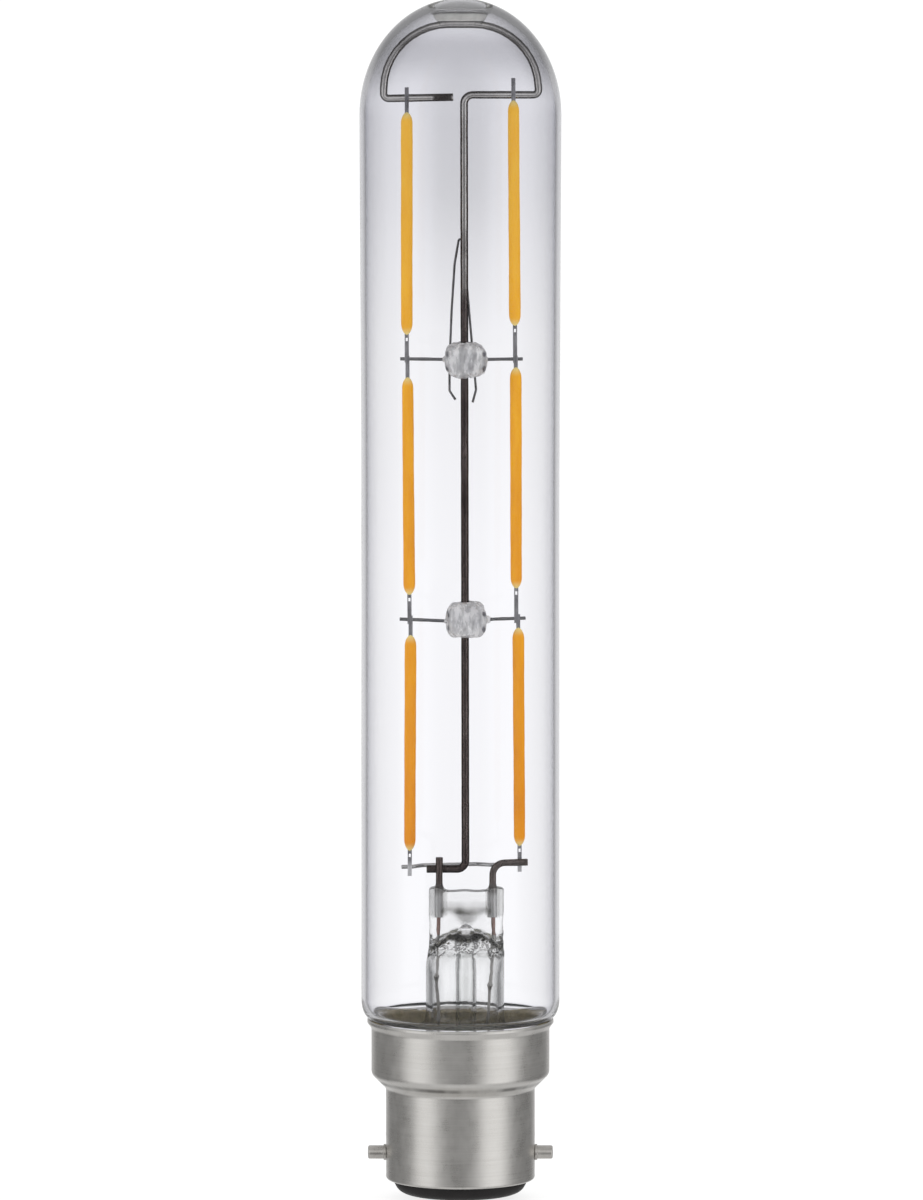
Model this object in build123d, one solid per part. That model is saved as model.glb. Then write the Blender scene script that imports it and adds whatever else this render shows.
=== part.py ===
from build123d import *
import math
import os

os.makedirs("parts", exist_ok=True)

# Tubular filament light bulb with a two-pin bayonet cap.
# Frame: origin on the bulb's axis at the plane of the two contacts, +Z up the
# bulb to the dome, +X along the bayonet pins, -Y towards the front.
# All sizes in millimetres.

# ---------------------------------------------------------------- cap
barrel_r = 11.0            # outside radius of the barrel
sheet = 0.35               # sheet thickness of the cap
barrel_foot_z = 3.0        # lower edge of the barrel
barrel_foot_round = 0.45   # corner radius at the foot
lip_hole_r = 9.95          # hole in the turned-in foot
shoulder_low_z = 16.6      # where the 45 degree shoulder leaves the barrel
shoulder_top_z = 18.75     # where it meets the skirt
skirt_r = 13.15            # outside radius of the skirt
rim_r = 13.75              # outside radius of the flared rim
rim_z = 26.84              # top of the rim
pin_z = 6.9                # height of the bayonet pins above the contacts
pin_r = 1.0
pin_tail_r = 0.80          # the pin's tail, riveted over inside the barrel
pin_collar_r = 1.20        # the pin's collar, which bears on the barrel
pin_collar_x = 11.34       # how far out the collar reaches
pin_span = 27.35           # over both pins

# ---------------------------------------------------------------- insulator
ins_bottom_z = 0.88
ins_r = 9.9
ins_flange_r = 10.45
ins_flange_top = 4.0
collar_r_out = 10.1
collar_r_in = 8.9
board_z = 11.0             # top of the collar, underside of the board
contact_y = 4.0            # contacts lie across the pins
contact_r = 2.4
solder_flat_r = 1.75

# ---------------------------------------------------------------- glass tube
tube_r_low = 14.63         # outside radius at the foot of the tube
tube_r_mid = 14.57
tube_r_top = 14.81
tube_low_z = 29.8
tube_mid_z = 105.0
dome_z = 160.5             # where the dome starts
apex_z = 177.53
wall = 0.80
neck_r_top = 12.05
neck_r_low = 11.7
neck_low_z = 19.0
neck_top_z = 25.5

# ---------------------------------------------------------------- stem
stem_x = 0.67              # the stem stands a little off the bulb's axis
stem_r = 5.78
stem_bore = 4.9
press_x0, press_x1 = -4.67, 6.39
press_t = 3.6
press_top = 45.9
press_low = 38.4
exhaust_x = 0.83
exhaust_r = 1.535
exhaust_bore = 1.08
exhaust_tip_z = 16.4
lead_y = -0.02
lead_left_x = -3.13
lead_right_x = 4.76
lead_r = 0.50
dumet_r = 0.25
outer_r = 0.225
lead_foot_z = 42.03
dumet_foot_z = 39.3

# ---------------------------------------------------------------- frame wires
rod_r = 0.575
rod_y = 1.055
rod_x_low, rod_x_top = 0.75, 0.53
rod_low_z = 49.0
arm_right_z = 163.4
arm_left_z = 163.0
arch_half = 11.15
arch_top_z = 173.9
cross_r = 0.25
cross_y = 0.73
hairpin_r = 0.175
hairpin_y = 1.90
jumper_r = 0.30

# ---------------------------------------------------------------- filaments
fil_r = 0.87
fil_end = 1.5              # length of each rounded end
fil_y = 0.405              # upper and lower filaments
fil_y_mid = 0.245          # middle filaments, whose tabs lie over the others'
tab_w, tab_t = 0.60, 0.15
tab_in = 1.1               # how far a tab reaches into the coat
sub_w, sub_t = 0.90, 0.35
chip_n = 24
chip_l, chip_w, chip_t = 0.55, 0.30, 0.12

# name: (x top, z top, x foot, z foot, tab top z, tab foot z, y, y step of the foot tab)
filaments = {
    "upper_left": (-7.86, 160.90, -7.88, 128.13, 164.56, 124.10, fil_y, 0.0),
    "upper_right": (7.77, 162.66, 8.01, 129.45, 165.94, 124.00, fil_y, 0.0),
    "middle_left": (-7.76, 121.94, -7.51, 89.75, 125.10, 85.45, fil_y_mid, 0.0),
    "middle_right": (8.13, 123.41, 8.22, 90.71, 125.10, 85.60, fil_y_mid, 0.0),
    "lower_left": (-7.34, 83.83, -7.47, 51.78, 86.70, 48.06, fil_y, 0.0),
    "lower_right": (8.52, 84.94, 8.73, 52.52, 86.90, 48.65, fil_y, 0.15),
}

nodes = {}


def spin(curves):
    """Turn a closed outline, drawn with radius along X and height along Z, about the axis."""
    return revolve(Plane.XZ * make_face(curves), Axis.Z, 360)


def outline(points):
    return Polyline(*points, close=True)


def rod(p0, p1, radius):
    """A straight round wire from p0 to p1."""
    a, b = Vector(*p0), Vector(*p1)
    base = Plane(origin=a, z_dir=(b - a).normalized())
    return extrude(base * Circle(radius), (b - a).length)


def bent(points, radius, bends):
    """A round wire along straight runs with tangent bends."""
    path = FilletPolyline(*points, radius=bends)
    base = Plane(origin=path @ 0, z_dir=path % 0)
    return sweep(base * Circle(radius), path=path)


def solid_of(shape):
    found = shape.solids()
    return found[0] if len(found) == 1 else Compound(children=list(found))


# ================================================================ glass envelope
def quarter(c, a, b, start, steps=6):
    """Points of a quarter ellipse about c, from the angle start through 90 degrees."""
    return [
        (c[0] + a * math.cos(math.radians(start + 90.0 * i / steps)),
         c[1] + b * math.sin(math.radians(start + 90.0 * i / steps)))
        for i in range(steps + 1)
    ]


def tube_side(t):
    """The side of the tube from the neck to the apex, moved in by t."""
    neck0 = (neck_r_low - t, neck_low_z)
    neck1 = (neck_r_top - t, neck_top_z + t * 0.6)
    turn_mid = (12.40 - t * 0.9, 26.50 + t * 0.75)
    turn_end = (13.20 - t * 0.45, 26.95 + t)
    foot = (tube_r_low - t, tube_low_z + t * 0.25)
    mid = (tube_r_mid - t, tube_mid_z)
    top = (tube_r_top - t, dome_z)
    apex = (0.0, apex_z - t)
    haunch = quarter((turn_end[0], foot[1]), foot[0] - turn_end[0], foot[1] - turn_end[1], 270)
    dome = quarter((0, dome_z), top[0], apex[1] - dome_z, 0, 8)
    haunch[0], haunch[-1] = turn_end, foot
    dome[0], dome[-1] = top, apex
    return (
        Line(neck0, neck1)
        + ThreePointArc(neck1, turn_mid, turn_end)
        + Spline(*haunch, tangents=[(1, 0), (0, 1)])
        + Line(foot, mid)
        + Line(mid, top)
        + Spline(*dome, tangents=[(0, 1), (-1, 0)])
    )


nodes["glass_envelope"] = spin(
    tube_side(0.0)
    + tube_side(wall)
    + Line((neck_r_low, neck_low_z), (neck_r_low - wall, neck_low_z))
    + Line((0, apex_z), (0, apex_z - wall))
)
envelope_full = spin(
    tube_side(0.0)
    + Line((neck_r_low, neck_low_z), (0, neck_low_z))
    + Line((0, neck_low_z), (0, apex_z))
)

# ================================================================ cap
cap_outer = spin(
    FilletPolyline(
        (0, barrel_foot_z), (barrel_r, barrel_foot_z), (barrel_r, shoulder_low_z),
        (skirt_r, shoulder_top_z), (skirt_r, 25.55), (rim_r, 26.40),
        (rim_r - 0.02, rim_z), (0, rim_z),
        radius=[barrel_foot_round, 0.8, 1.2, 0.8, 0.12, 0.18],
    )
    + Line((0, rim_z), (0, barrel_foot_z))
)
cap_inner = spin(
    FilletPolyline(
        (0, barrel_foot_z + sheet), (barrel_r - sheet, barrel_foot_z + sheet),
        (barrel_r - sheet, shoulder_low_z + 0.145), (skirt_r - sheet, shoulder_top_z + 0.145),
        (skirt_r - sheet, 25.70), (rim_r - 0.33, 26.62), (rim_r - 0.33, rim_z + 1.0), (0, rim_z + 1.0),
        radius=[0.1, 0.8, 0.85, 0.8, 0.1, 0.1],
    )
    + Line((0, rim_z + 1.0), (0, barrel_foot_z + sheet))
)
foot_hole = Pos(0, 0, barrel_foot_z) * Cylinder(lip_hole_r, 2.0)
pin_holes = Rot(0, 90, 0) * Cylinder(pin_tail_r, 60)
pin_holes = Pos(0, 0, pin_z) * pin_holes
nodes["bayonet_cap"] = cap_outer - cap_inner - foot_hole - pin_holes

head_x0 = 10.15
head_x1 = 10.48


def bayonet_pin(side):
    end = pin_span / 2
    outline_pts = FilletPolyline(
        (0, head_x0), (1.45, head_x0), (1.45, head_x1), (pin_tail_r, head_x1), (pin_tail_r, barrel_r),
        (pin_collar_r, barrel_r), (pin_collar_r, pin_collar_x), (pin_r, pin_collar_x), (pin_r, end), (0, end),
        radius=[0.08, 0.05, 0.02, 0.02, 0.05, 0.05, 0.02, 0.28],
    ) + Line((0, end), (0, head_x0))
    body = spin(outline_pts)
    return Pos(0, 0, pin_z) * (Rot(0, 90 * side, 0) * body)


nodes["bayonet_pin_right"] = bayonet_pin(1)
nodes["bayonet_pin_left"] = bayonet_pin(-1)

# ================================================================ insulator and contacts
ins_curves = (
    Line((0, ins_bottom_z), (7.4, ins_bottom_z))
    + Spline((7.4, ins_bottom_z), (8.62, 1.12), (9.28, 1.60), (9.66, 2.20), (ins_r, 3.00),
             tangents=[(1, 0), (0.12, 1)])
    + Polyline((ins_r, 3.00), (ins_r, 3.36), (ins_flange_r, 3.36), (ins_flange_r, ins_flange_top),
               (collar_r_out, ins_flange_top), (collar_r_out, board_z), (collar_r_in, board_z),
               (collar_r_in, 3.60), (0, 3.60), (0, ins_bottom_z))
)
insulator = spin(ins_curves)
plate_t = 0.40
for side in (-1, 1):
    at = Pos(0, side * contact_y, 0)
    insulator -= at * Pos(0, 0, ins_bottom_z + plate_t / 2) * Cylinder(contact_r, plate_t)
    insulator -= at * Pos(0, 0, 3.0) * Cylinder(1.20, 5.0)
# two relief notches in the collar, beside the heads of the pins
insulator -= Pos(0, 0, pin_z) * (Rot(0, 90, 0) * Cylinder(1.75, 60)) & Pos(0, 0, pin_z) * Box(60, 3.5, 3.5)
nodes["insulator"] = insulator

for name, side in (("front", -1), ("back", 1)):
    at = Pos(0, side * contact_y, 0)
    plate = spin(outline([
        (0.32, ins_bottom_z), (contact_r, ins_bottom_z), (contact_r, ins_bottom_z + plate_t),
        (1.20, ins_bottom_z + plate_t), (1.20, 3.60), (1.75, 3.60), (1.75, 3.90), (0.32, 3.90),
    ]))
    nodes["contact_" + name] = at * plate
    dome = spin(
        Line((0, 0), (solder_flat_r, 0))
        + Spline((solder_flat_r, 0), (2.10, 0.30), (2.25, ins_bottom_z), tangents=[(1, 0.15), (0.02, 1)])
        + Line((2.25, ins_bottom_z), (0, ins_bottom_z))
        + Line((0, ins_bottom_z), (0, 0))
    )
    nodes["solder_" + name] = at * dome

# ================================================================ cement
cement = spin(outline([
    (8.0, 19.7), (skirt_r - sheet, 19.7), (skirt_r - sheet, 25.7), (13.08, 26.14), (13.02, 26.28), (8.0, 26.36)]))
nodes["basing_cement"] = cement - envelope_full

# ================================================================ stem
flare_out = loft([
    Pos(0.00, 0, 20.30) * Circle(neck_r_low - wall + 0.0),
    Pos(0.15, 0, 21.30) * Circle(9.30),
    Pos(0.40, 0, 23.20) * Circle(7.10),
    Pos(0.60, 0, 25.60) * Circle(6.05),
    Pos(stem_x, 0, 28.00) * Circle(stem_r),
])
flare_in = loft([
    Pos(0.00, 0, 19.40) * Circle(10.20),
    Pos(0.15, 0, 20.70) * Circle(8.55),
    Pos(0.40, 0, 22.80) * Circle(6.30),
    Pos(0.60, 0, 25.40) * Circle(5.20),
    Pos(stem_x, 0, 28.00) * Circle(stem_bore),
])
flare_band = Pos(0, 0, 19.85) * Cylinder(neck_r_low - wall, 0.90)
tube_part = Pos(stem_x, 0, 30.95) * Cylinder(stem_r, 5.90)
tube_bore = Pos(stem_x, 0, 30.95) * Cylinder(stem_bore, 5.90)
press_cx = (press_x0 + press_x1) / 2
squash_out = loft([
    Pos(stem_x, 0, 33.90) * Circle(stem_r),
    Pos(0.78, 0, 36.80) * Ellipse(5.66, 4.10),
    Pos(press_cx, 0, 39.60) * Ellipse(5.52, 1.95),
])
squash_in = loft([
    Pos(stem_x, 0, 33.90) * Circle(stem_bore),
    Pos(0.78, 0, 36.30) * Ellipse(4.80, 3.40),
    Pos(press_cx, 0, press_low) * Ellipse(4.45, 1.75),
])
press = Pos(press_cx, 0, (press_low + 0.3 + press_top) / 2) * Box(
    press_x1 - press_x0, press_t, press_top - press_low - 0.3)
press = fillet(press.edges().filter_by(Axis.Z), 1.3)
press = fillet(press.edges().group_by(Axis.Z)[-1], 0.35)
stem = flare_out + flare_band + tube_part + squash_out + press
for x in (lead_left_x, lead_right_x):
    stem += Pos(x, lead_y, press_top + 0.10) * Cone(1.30, 0.62, 0.90)
stem = stem - flare_in - tube_bore - squash_in
# seats of the wires in the glass
for x in (lead_left_x, lead_right_x):
    stem -= rod((x, lead_y, lead_foot_z), (x, lead_y, 48.0), lead_r)
    stem -= rod((x, lead_y, dumet_foot_z), (x, lead_y, lead_foot_z), dumet_r)
    stem -= rod((x, lead_y, 37.0), (x, lead_y, dumet_foot_z), outer_r)
# vent from the exhaust tube, blown out through the front of the press
stem -= rod((exhaust_x, 0, press_low - 0.2), (exhaust_x, 0, 40.1), 0.85)
stem -= rod((exhaust_x, 0, 39.85), (exhaust_x, -4.0, 39.85), 0.80)
nodes["flare_tube"] = stem

ex_out = spin(
    Line((0, exhaust_tip_z), (0.35, exhaust_tip_z))
    + Spline((0.35, exhaust_tip_z), (1.10, 17.3), (exhaust_r, 18.9), tangents=[(1, 0.1), (0, 1)])
    + Line((exhaust_r, 18.9), (exhaust_r, press_low))
    + Line((exhaust_r, press_low), (0, press_low))
    + Line((0, press_low), (0, exhaust_tip_z))
)
ex_in = spin(outline([(0, 18.2), (0.5, 18.6), (exhaust_bore, 19.9), (exhaust_bore, press_low + 1), (0, press_low + 1)]))
nodes["exhaust_tube"] = Pos(exhaust_x, 0, 0) * (ex_out - ex_in)

# ---------------------------------------------------------------- lead-in wires
nodes["inner_lead_left"] = rod((lead_left_x, lead_y, lead_foot_z), (lead_left_x, lead_y, 50.88), lead_r)
nodes["inner_lead_right"] = bent(
    [(lead_right_x, lead_y, lead_foot_z), (lead_right_x, lead_y, 50.02), (9.93, lead_y, 50.16)], lead_r, 1.8)
for name, x in (("left", lead_left_x), ("right", lead_right_x)):
    nodes["dumet_" + name] = rod((x, lead_y, dumet_foot_z), (x, lead_y, lead_foot_z), dumet_r)

left_path = [(lead_left_x, lead_y, dumet_foot_z), (lead_left_x, lead_y, 36.4), (-3.66, lead_y, 33.2),
             (-3.20, lead_y, 28.0), (-3.55, lead_y, 19.0), (-3.50, lead_y, board_z + 0.1)]
right_path = [(lead_right_x, lead_y, dumet_foot_z), (lead_right_x, lead_y, 35.6), (4.36, lead_y, 31.9),
              (4.10, lead_y, 26.0), (4.35, lead_y, 18.0), (4.30, lead_y, board_z + 0.1)]
nodes["outer_lead_left"] = bent(left_path, outer_r, 0.9) + Pos(-3.62, lead_y, 33.2) * Sphere(0.42)
nodes["outer_lead_right"] = bent(right_path, outer_r, 0.9) + Pos(4.38, lead_y, 31.9) * Sphere(0.42)

# ================================================================ support rod
rod_points = [
    (-5.0, rod_y, rod_low_z), (rod_x_low, rod_y, rod_low_z), (rod_x_top, rod_y, arm_right_z),
    (arch_half + 0.35, rod_y, arm_right_z), (arch_half, rod_y, arch_top_z), (-arch_half, rod_y, arch_top_z),
    (-arch_half - 0.15, rod_y, arm_left_z - 0.15), (-1.05, rod_y, arm_left_z + 0.05),
]
nodes["support_rod"] = bent(rod_points, rod_r, [1.25, 1.3, 0.75, 9.6, 9.6, 0.75])

# ================================================================ beads, cross wires, hairpin
hairpin_points = [
    (-0.72, hairpin_y, 118.45), (-1.60, hairpin_y, 119.75), (-1.60, hairpin_y, 124.0),
    (-1.30, hairpin_y, 131.5), (-0.85, hairpin_y, 138.5), (-0.20, hairpin_y, 142.3),
    (0.35, hairpin_y, 141.9), (0.95, hairpin_y, 135.4), (1.50, hairpin_y, 129.0),
    (2.12, hairpin_y, 122.0), (2.30, hairpin_y, 119.9), (1.80, hairpin_y, 118.05),
]
hairpin = bent(hairpin_points, hairpin_r, 0.30)
nodes["hairpin_wire"] = hairpin

cross = {
    "upper_left": rod((-8.86, cross_y, 124.58), (-0.55, cross_y, 124.45), cross_r),
    "upper_right": rod((2.10, cross_y, 124.45), (9.18, cross_y, 124.56), cross_r),
    "lower_left": rod((-8.96, cross_y, 86.13), (-0.55, cross_y, 85.78), cross_r),
    "lower_right": rod((2.10, cross_y, 86.00), (9.62, cross_y, 86.28), cross_r),
}
for name, shape in cross.items():
    nodes["cross_wire_" + name] = shape


def egg(a, b):
    """A bead drawn out along X: a is its half length, b its half height."""
    return scale(Sphere(1.0), by=(a, b, b))


bead_upper = Pos(0.77, rod_y, 124.43) * egg(3.10, 2.56)
bead_lower = Pos(0.83, rod_y, 86.00) * egg(3.05, 2.76) + Pos(4.00, rod_y - 0.15, 86.06) * Sphere(0.80)
bead_upper = bead_upper - nodes["support_rod"] - hairpin - cross["upper_left"] - cross["upper_right"]
bead_lower = bead_lower - nodes["support_rod"] - cross["lower_left"] - cross["lower_right"]
nodes["bead_upper"] = bead_upper
nodes["bead_lower"] = bead_lower

# ================================================================ jumper wire
def on_jumper(x, y):
    return (x, y, 49.35 + 0.0235 * (x + 8.71))


jumper_y0 = fil_y + tab_t / 2 + jumper_r
nodes["jumper_wire"] = bent(
    [on_jumper(-8.71, jumper_y0), on_jumper(-6.95, jumper_y0), on_jumper(-5.65, 2.0),
     on_jumper(2.40, 2.0), on_jumper(4.35, lead_y + lead_r + jumper_r),
     on_jumper(5.75, lead_y + lead_r + jumper_r)],
    jumper_r, 0.7)

# ================================================================ filaments
for name, (xt, zt, xb, zb, tab_top, tab_foot, fy, foot_step) in filaments.items():
    length = math.hypot(zt - zb, xt - xb)
    lean = Vector(xt - xb, 0, zt - zb).normalized()
    place = Plane(origin=(xb, fy, zb), x_dir=Vector(0, 1, 0).cross(lean), z_dir=lean)
    loc = place.location
    body = revolve(
        Plane.XZ * make_face(
            Spline(*quarter((0, fil_end), fil_r, fil_end, 270), tangents=[(1, 0), (0, 1)])
            + Line((fil_r, fil_end), (fil_r, length - fil_end))
            + Spline(*quarter((0, length - fil_end), fil_r, fil_end, 0), tangents=[(0, 1), (-1, 0)])
            + Line((0, length), (0, 0))
        ), Axis.Z, 360)
    cos = lean.Z
    out_top = (tab_top - zt) / cos
    out_foot = (zb - tab_foot) / cos
    tab_hi = Pos(0, 0, length + (out_top - tab_in) / 2) * Box(tab_w, tab_t, out_top + tab_in)
    tab_lo = Pos(0, foot_step, -(out_foot - tab_in) / 2) * Box(tab_w, tab_t, out_foot + tab_in)
    strip = Pos(0, 0, length / 2) * Box(sub_w, sub_t, length - 2 * tab_in)
    row = []
    pitch = (length - 2 * tab_in - 1.6) / (chip_n - 1)
    for i in range(chip_n):
        z = tab_in + 0.8 + i * pitch
        row.append(Pos(0, -(sub_t + chip_t) / 2, z) * Box(chip_w, chip_t, chip_l))
    chips = Compound(children=row)
    coat = body - tab_hi - tab_lo - strip
    for c in row:
        coat -= c
    nodes["coat_" + name] = loc * coat
    nodes["substrate_" + name] = loc * strip
    nodes["tabs_" + name] = Compound(children=[loc * tab_hi, loc * tab_lo])
    nodes["chips_" + name] = Compound(children=[loc * c for c in row])

# ================================================================ driver
board_t = 1.0
board = Pos(0, 0, board_z + board_t / 2) * Cylinder(9.95, board_t)
wire_r = 0.30
lead_holes = [(-3.50, lead_y, outer_r), (4.30, lead_y, outer_r)]
for x, y, r in lead_holes:
    board -= Pos(x, y, board_z + board_t / 2) * Cylinder(r + 0.25, board_t + 1)
for side in (-1, 1):
    board -= Pos(0, side * contact_y, board_z + board_t / 2) * Cylinder(wire_r, board_t + 1)
nodes["driver_board"] = board
for name, side in (("front", -1), ("back", 1)):
    nodes["supply_wire_" + name] = rod(
        (0, side * contact_y, ins_bottom_z), (0, side * contact_y, board_z + board_t + 0.4), wire_r)

top = board_z + board_t
nodes["bridge_rectifier"] = Pos(-3.6, 5.3, top + 0.8) * chamfer(Box(4.6, 4.0, 1.6).edges().group_by(Axis.Z)[-1], 0.25)
nodes["driver_chip"] = Pos(3.4, 5.2, top + 0.75) * chamfer(Box(4.9, 3.9, 1.5).edges().group_by(Axis.Z)[-1], 0.25)
capacitor = Pos(4.8, 0, board_z - 3.4) * Cylinder(3.15, 6.8)
capacitor = fillet(capacitor.edges().group_by(Axis.Z)[0], 0.5)
nodes["capacitor"] = capacitor
coil = spin(FilletPolyline(
    (0, 5.0), (2.5, 5.0), (2.5, 5.9), (2.0, 5.9), (2.0, 10.1), (2.5, 10.1), (2.5, board_z), (0, board_z),
    radius=[0.15, 0.1, 0.05, 0.05, 0.1, 0.1]) + Line((0, board_z), (0, 5.0)))
nodes["inductor"] = Pos(-5.0, 0, 0) * coil
res_z = top + 1.35
resistor = Pos(0, -6.3, res_z) * (Rot(0, 90, 0) * fillet(Cylinder(1.05, 6.0).edges(), 0.35))
resistor += bent([(-2.9, -6.3, res_z), (-4.1, -6.3, res_z), (-4.1, -6.3, top)], 0.28, 0.5)
resistor += bent([(2.9, -6.3, res_z), (4.1, -6.3, res_z), (4.1, -6.3, top)], 0.28, 0.5)
nodes["fusible_resistor"] = resistor

# ================================================================ write
for name, shape in nodes.items():
    shape = solid_of(shape)
    shape.label = name
    export_step(shape, os.path.join("parts", name + ".step"))
    print(f"{name:28s} solids {len(shape.solids()):3d}  volume {shape.volume:9.2f} mm3")
print(len(nodes), "nodes")
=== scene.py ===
import math

import bmesh
import bpy
import numpy as np
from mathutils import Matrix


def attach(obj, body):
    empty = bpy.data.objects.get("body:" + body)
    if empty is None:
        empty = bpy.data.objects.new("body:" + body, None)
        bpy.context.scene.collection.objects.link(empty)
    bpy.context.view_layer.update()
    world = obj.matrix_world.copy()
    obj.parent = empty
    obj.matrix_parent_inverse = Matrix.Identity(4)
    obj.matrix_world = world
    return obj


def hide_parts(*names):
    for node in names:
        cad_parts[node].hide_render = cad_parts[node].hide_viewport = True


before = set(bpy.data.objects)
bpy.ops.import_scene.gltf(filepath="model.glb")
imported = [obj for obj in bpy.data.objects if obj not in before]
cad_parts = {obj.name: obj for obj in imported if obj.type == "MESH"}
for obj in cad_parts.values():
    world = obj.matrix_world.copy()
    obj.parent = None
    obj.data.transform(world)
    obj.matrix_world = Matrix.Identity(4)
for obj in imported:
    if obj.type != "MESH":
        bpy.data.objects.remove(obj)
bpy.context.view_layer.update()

MM = 0.001
scene = bpy.context.scene

# ------------------------------------------------------------------ camera
cam_data = bpy.data.cameras.new("camera")
cam_data.sensor_fit = "HORIZONTAL"
cam_data.sensor_width = 36.0
cam_data.lens = 475.10
cam_data.clip_start = 0.05
cam_data.clip_end = 60.0
camera = bpy.data.objects.new("camera", cam_data)
camera.location = (0.00016, -1.780, 0.2898)
camera.rotation_euler = (math.radians(83.564), 0.0, 0.0)
scene.collection.objects.link(camera)
scene.camera = camera

scene.view_settings.view_transform = "Standard"
scene.view_settings.look = "None"
scene.cycles.max_bounces = 28
scene.cycles.transmission_bounces = 28
scene.cycles.glossy_bounces = 10
scene.cycles.diffuse_bounces = 4
scene.cycles.transparent_max_bounces = 16
scene.cycles.caustics_reflective = True
scene.cycles.caustics_refractive = True
scene.cycles.blur_glossy = 0.0
scene.cycles.sample_clamp_indirect = 6.0


# ------------------------------------------------------------------ small geometry tools
def unit(v):
    v = np.asarray(v, float)
    return v / np.linalg.norm(v)


def rounded(points, radii, n=8, closed=False):
    """A polyline in 2-D or 3-D whose corners become tangent arcs."""
    pts = [np.array(p, float) for p in points]
    m = len(pts)
    inner = range(m) if closed else range(1, m - 1)
    out = [] if closed else [pts[0]]
    for k, i in enumerate(inner):
        a, b, c = pts[i - 1], pts[i], pts[(i + 1) % m]
        r = radii[k] if hasattr(radii, "__len__") else radii
        u, v = unit(a - b), unit(c - b)
        half = math.acos(max(-1.0, min(1.0, float(u @ v)))) / 2
        if r <= 0 or half > math.pi / 2 - 1e-4:
            out.append(b)
            continue
        centre = b + unit(u + v) * r / math.sin(half)
        s, e = b + u * r / math.tan(half) - centre, b + v * r / math.tan(half) - centre
        turn = math.acos(max(-1.0, min(1.0, float(s @ e) / (r * r))))
        for j in range(n + 1):
            t = j / n
            out.append(centre + (math.sin((1 - t) * turn) * s + math.sin(t * turn) * e) / math.sin(turn))
    if not closed:
        out.append(pts[-1])
    return np.array(out)


def finer(path, step):
    """The same path with its long runs divided."""
    out = [path[0]]
    for a, b in zip(path[:-1], path[1:]):
        n = max(1, int(math.ceil(np.linalg.norm(b - a) / step)))
        for j in range(1, n + 1):
            out.append(a + (b - a) * j / n)
    keep = [out[0]]
    for p in out[1:]:
        if np.linalg.norm(p - keep[-1]) > 1e-5:
            keep.append(p)
    return np.array(keep)


def smooth_curve(xs, ys):
    """A smooth curve through points, that doesn't overshoot."""
    xs, ys = np.array(xs, float), np.array(ys, float)
    h = np.diff(xs)
    d = np.diff(ys) / h
    m = np.zeros_like(ys)
    for i in range(1, len(xs) - 1):
        if d[i - 1] * d[i] > 0:
            w1, w2 = 2 * h[i] + h[i - 1], h[i] + 2 * h[i - 1]
            m[i] = (w1 + w2) / (w1 / d[i - 1] + w2 / d[i])
    m[0], m[-1] = d[0], d[-1]

    def at(x):
        x = np.clip(x, xs[0], xs[-1])
        i = np.clip(np.searchsorted(xs, x) - 1, 0, len(xs) - 2)
        t = (x - xs[i]) / h[i]
        t2, t3 = t * t, t * t * t
        return ((2 * t3 - 3 * t2 + 1) * ys[i] + (t3 - 2 * t2 + t) * h[i] * m[i]
                + (3 * t2 - 2 * t3) * ys[i + 1] + (t3 - t2) * h[i] * m[i + 1])

    return at


def ripple(x, y, z, seed, length, count=9):
    """A smooth irregular field of about unit size whose waves are about that long."""
    r = np.random.default_rng(seed)
    d = r.normal(size=(count, 3))
    d /= np.linalg.norm(d, axis=1)[:, None]
    k = 2 * math.pi / (length * r.uniform(0.7, 1.5, count))
    phase = r.uniform(0, 2 * math.pi, count)
    out = 0.0
    for (a, b, c), kk, p in zip(d, k, phase):
        out = out + np.sin(kk * (a * x + b * y + c * z) + p)
    return out * math.sqrt(2.0 / count)


def smin(a, b, k):
    h = np.clip(0.5 + 0.5 * (b - a) / k, 0, 1)
    return b * (1 - h) + a * h - k * h * (1 - h)


def smax(a, b, k):
    return -smin(-a, -b, k)


def put(name, verts, faces, material, stands_for=(), outward=False, normals=None, attribute=None):
    """A finished piece from points in millimetres."""
    mesh = bpy.data.meshes.new(name)
    mesh.from_pydata((np.asarray(verts, float) * MM).tolist(), [], [list(map(int, f)) for f in faces])
    if outward:
        bm = bmesh.new()
        bm.from_mesh(mesh)
        bmesh.ops.recalc_face_normals(bm, faces=bm.faces)
        bm.to_mesh(mesh)
        bm.free()
    mesh.update()
    mesh.polygons.foreach_set("use_smooth", np.ones(len(mesh.polygons), bool))
    if attribute is not None:
        layer = mesh.attributes.new("shade", "FLOAT", "POINT")
        layer.data.foreach_set("value", np.asarray(attribute, np.float32))
    if normals is not None:
        mesh.normals_split_custom_set_from_vertices(normals.tolist())
    mesh.materials.append(material)
    obj = bpy.data.objects.new(name, mesh)
    scene.collection.objects.link(obj)
    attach(obj, "root")
    if stands_for:
        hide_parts(*stands_for)
    return obj


def lathe(profile, segs, closed=False, shift=(0.0, 0.0), radius=None):
    """Points and faces of a turned outline of (radius, height). Ends on the axis close to a pole."""
    angle = np.arange(segs) * 2 * math.pi / segs
    verts, rows, faces = [], [], []
    for r, z in profile:
        if r < 1e-6:
            rows.append([len(verts)])
            verts.append((shift[0], shift[1], z))
            continue
        rr = r if radius is None else radius(r, z, angle)
        rows.append(list(range(len(verts), len(verts) + segs)))
        ring = np.stack([shift[0] + rr * np.cos(angle), shift[1] + rr * np.sin(angle), np.full(segs, z)], 1)
        verts.extend(ring.tolist())
    pairs = list(zip(rows[:-1], rows[1:])) + ([(rows[-1], rows[0])] if closed else [])
    for low, high in pairs:
        for k in range(segs):
            j = (k + 1) % segs
            if len(low) == 1 and len(high) == 1:
                continue
            if len(low) == 1:
                faces.append((low[0], high[j], high[k]))
            elif len(high) == 1:
                faces.append((low[k], low[j], high[0]))
            else:
                faces.append((low[k], low[j], high[j], high[k]))
    return verts, faces


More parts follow.
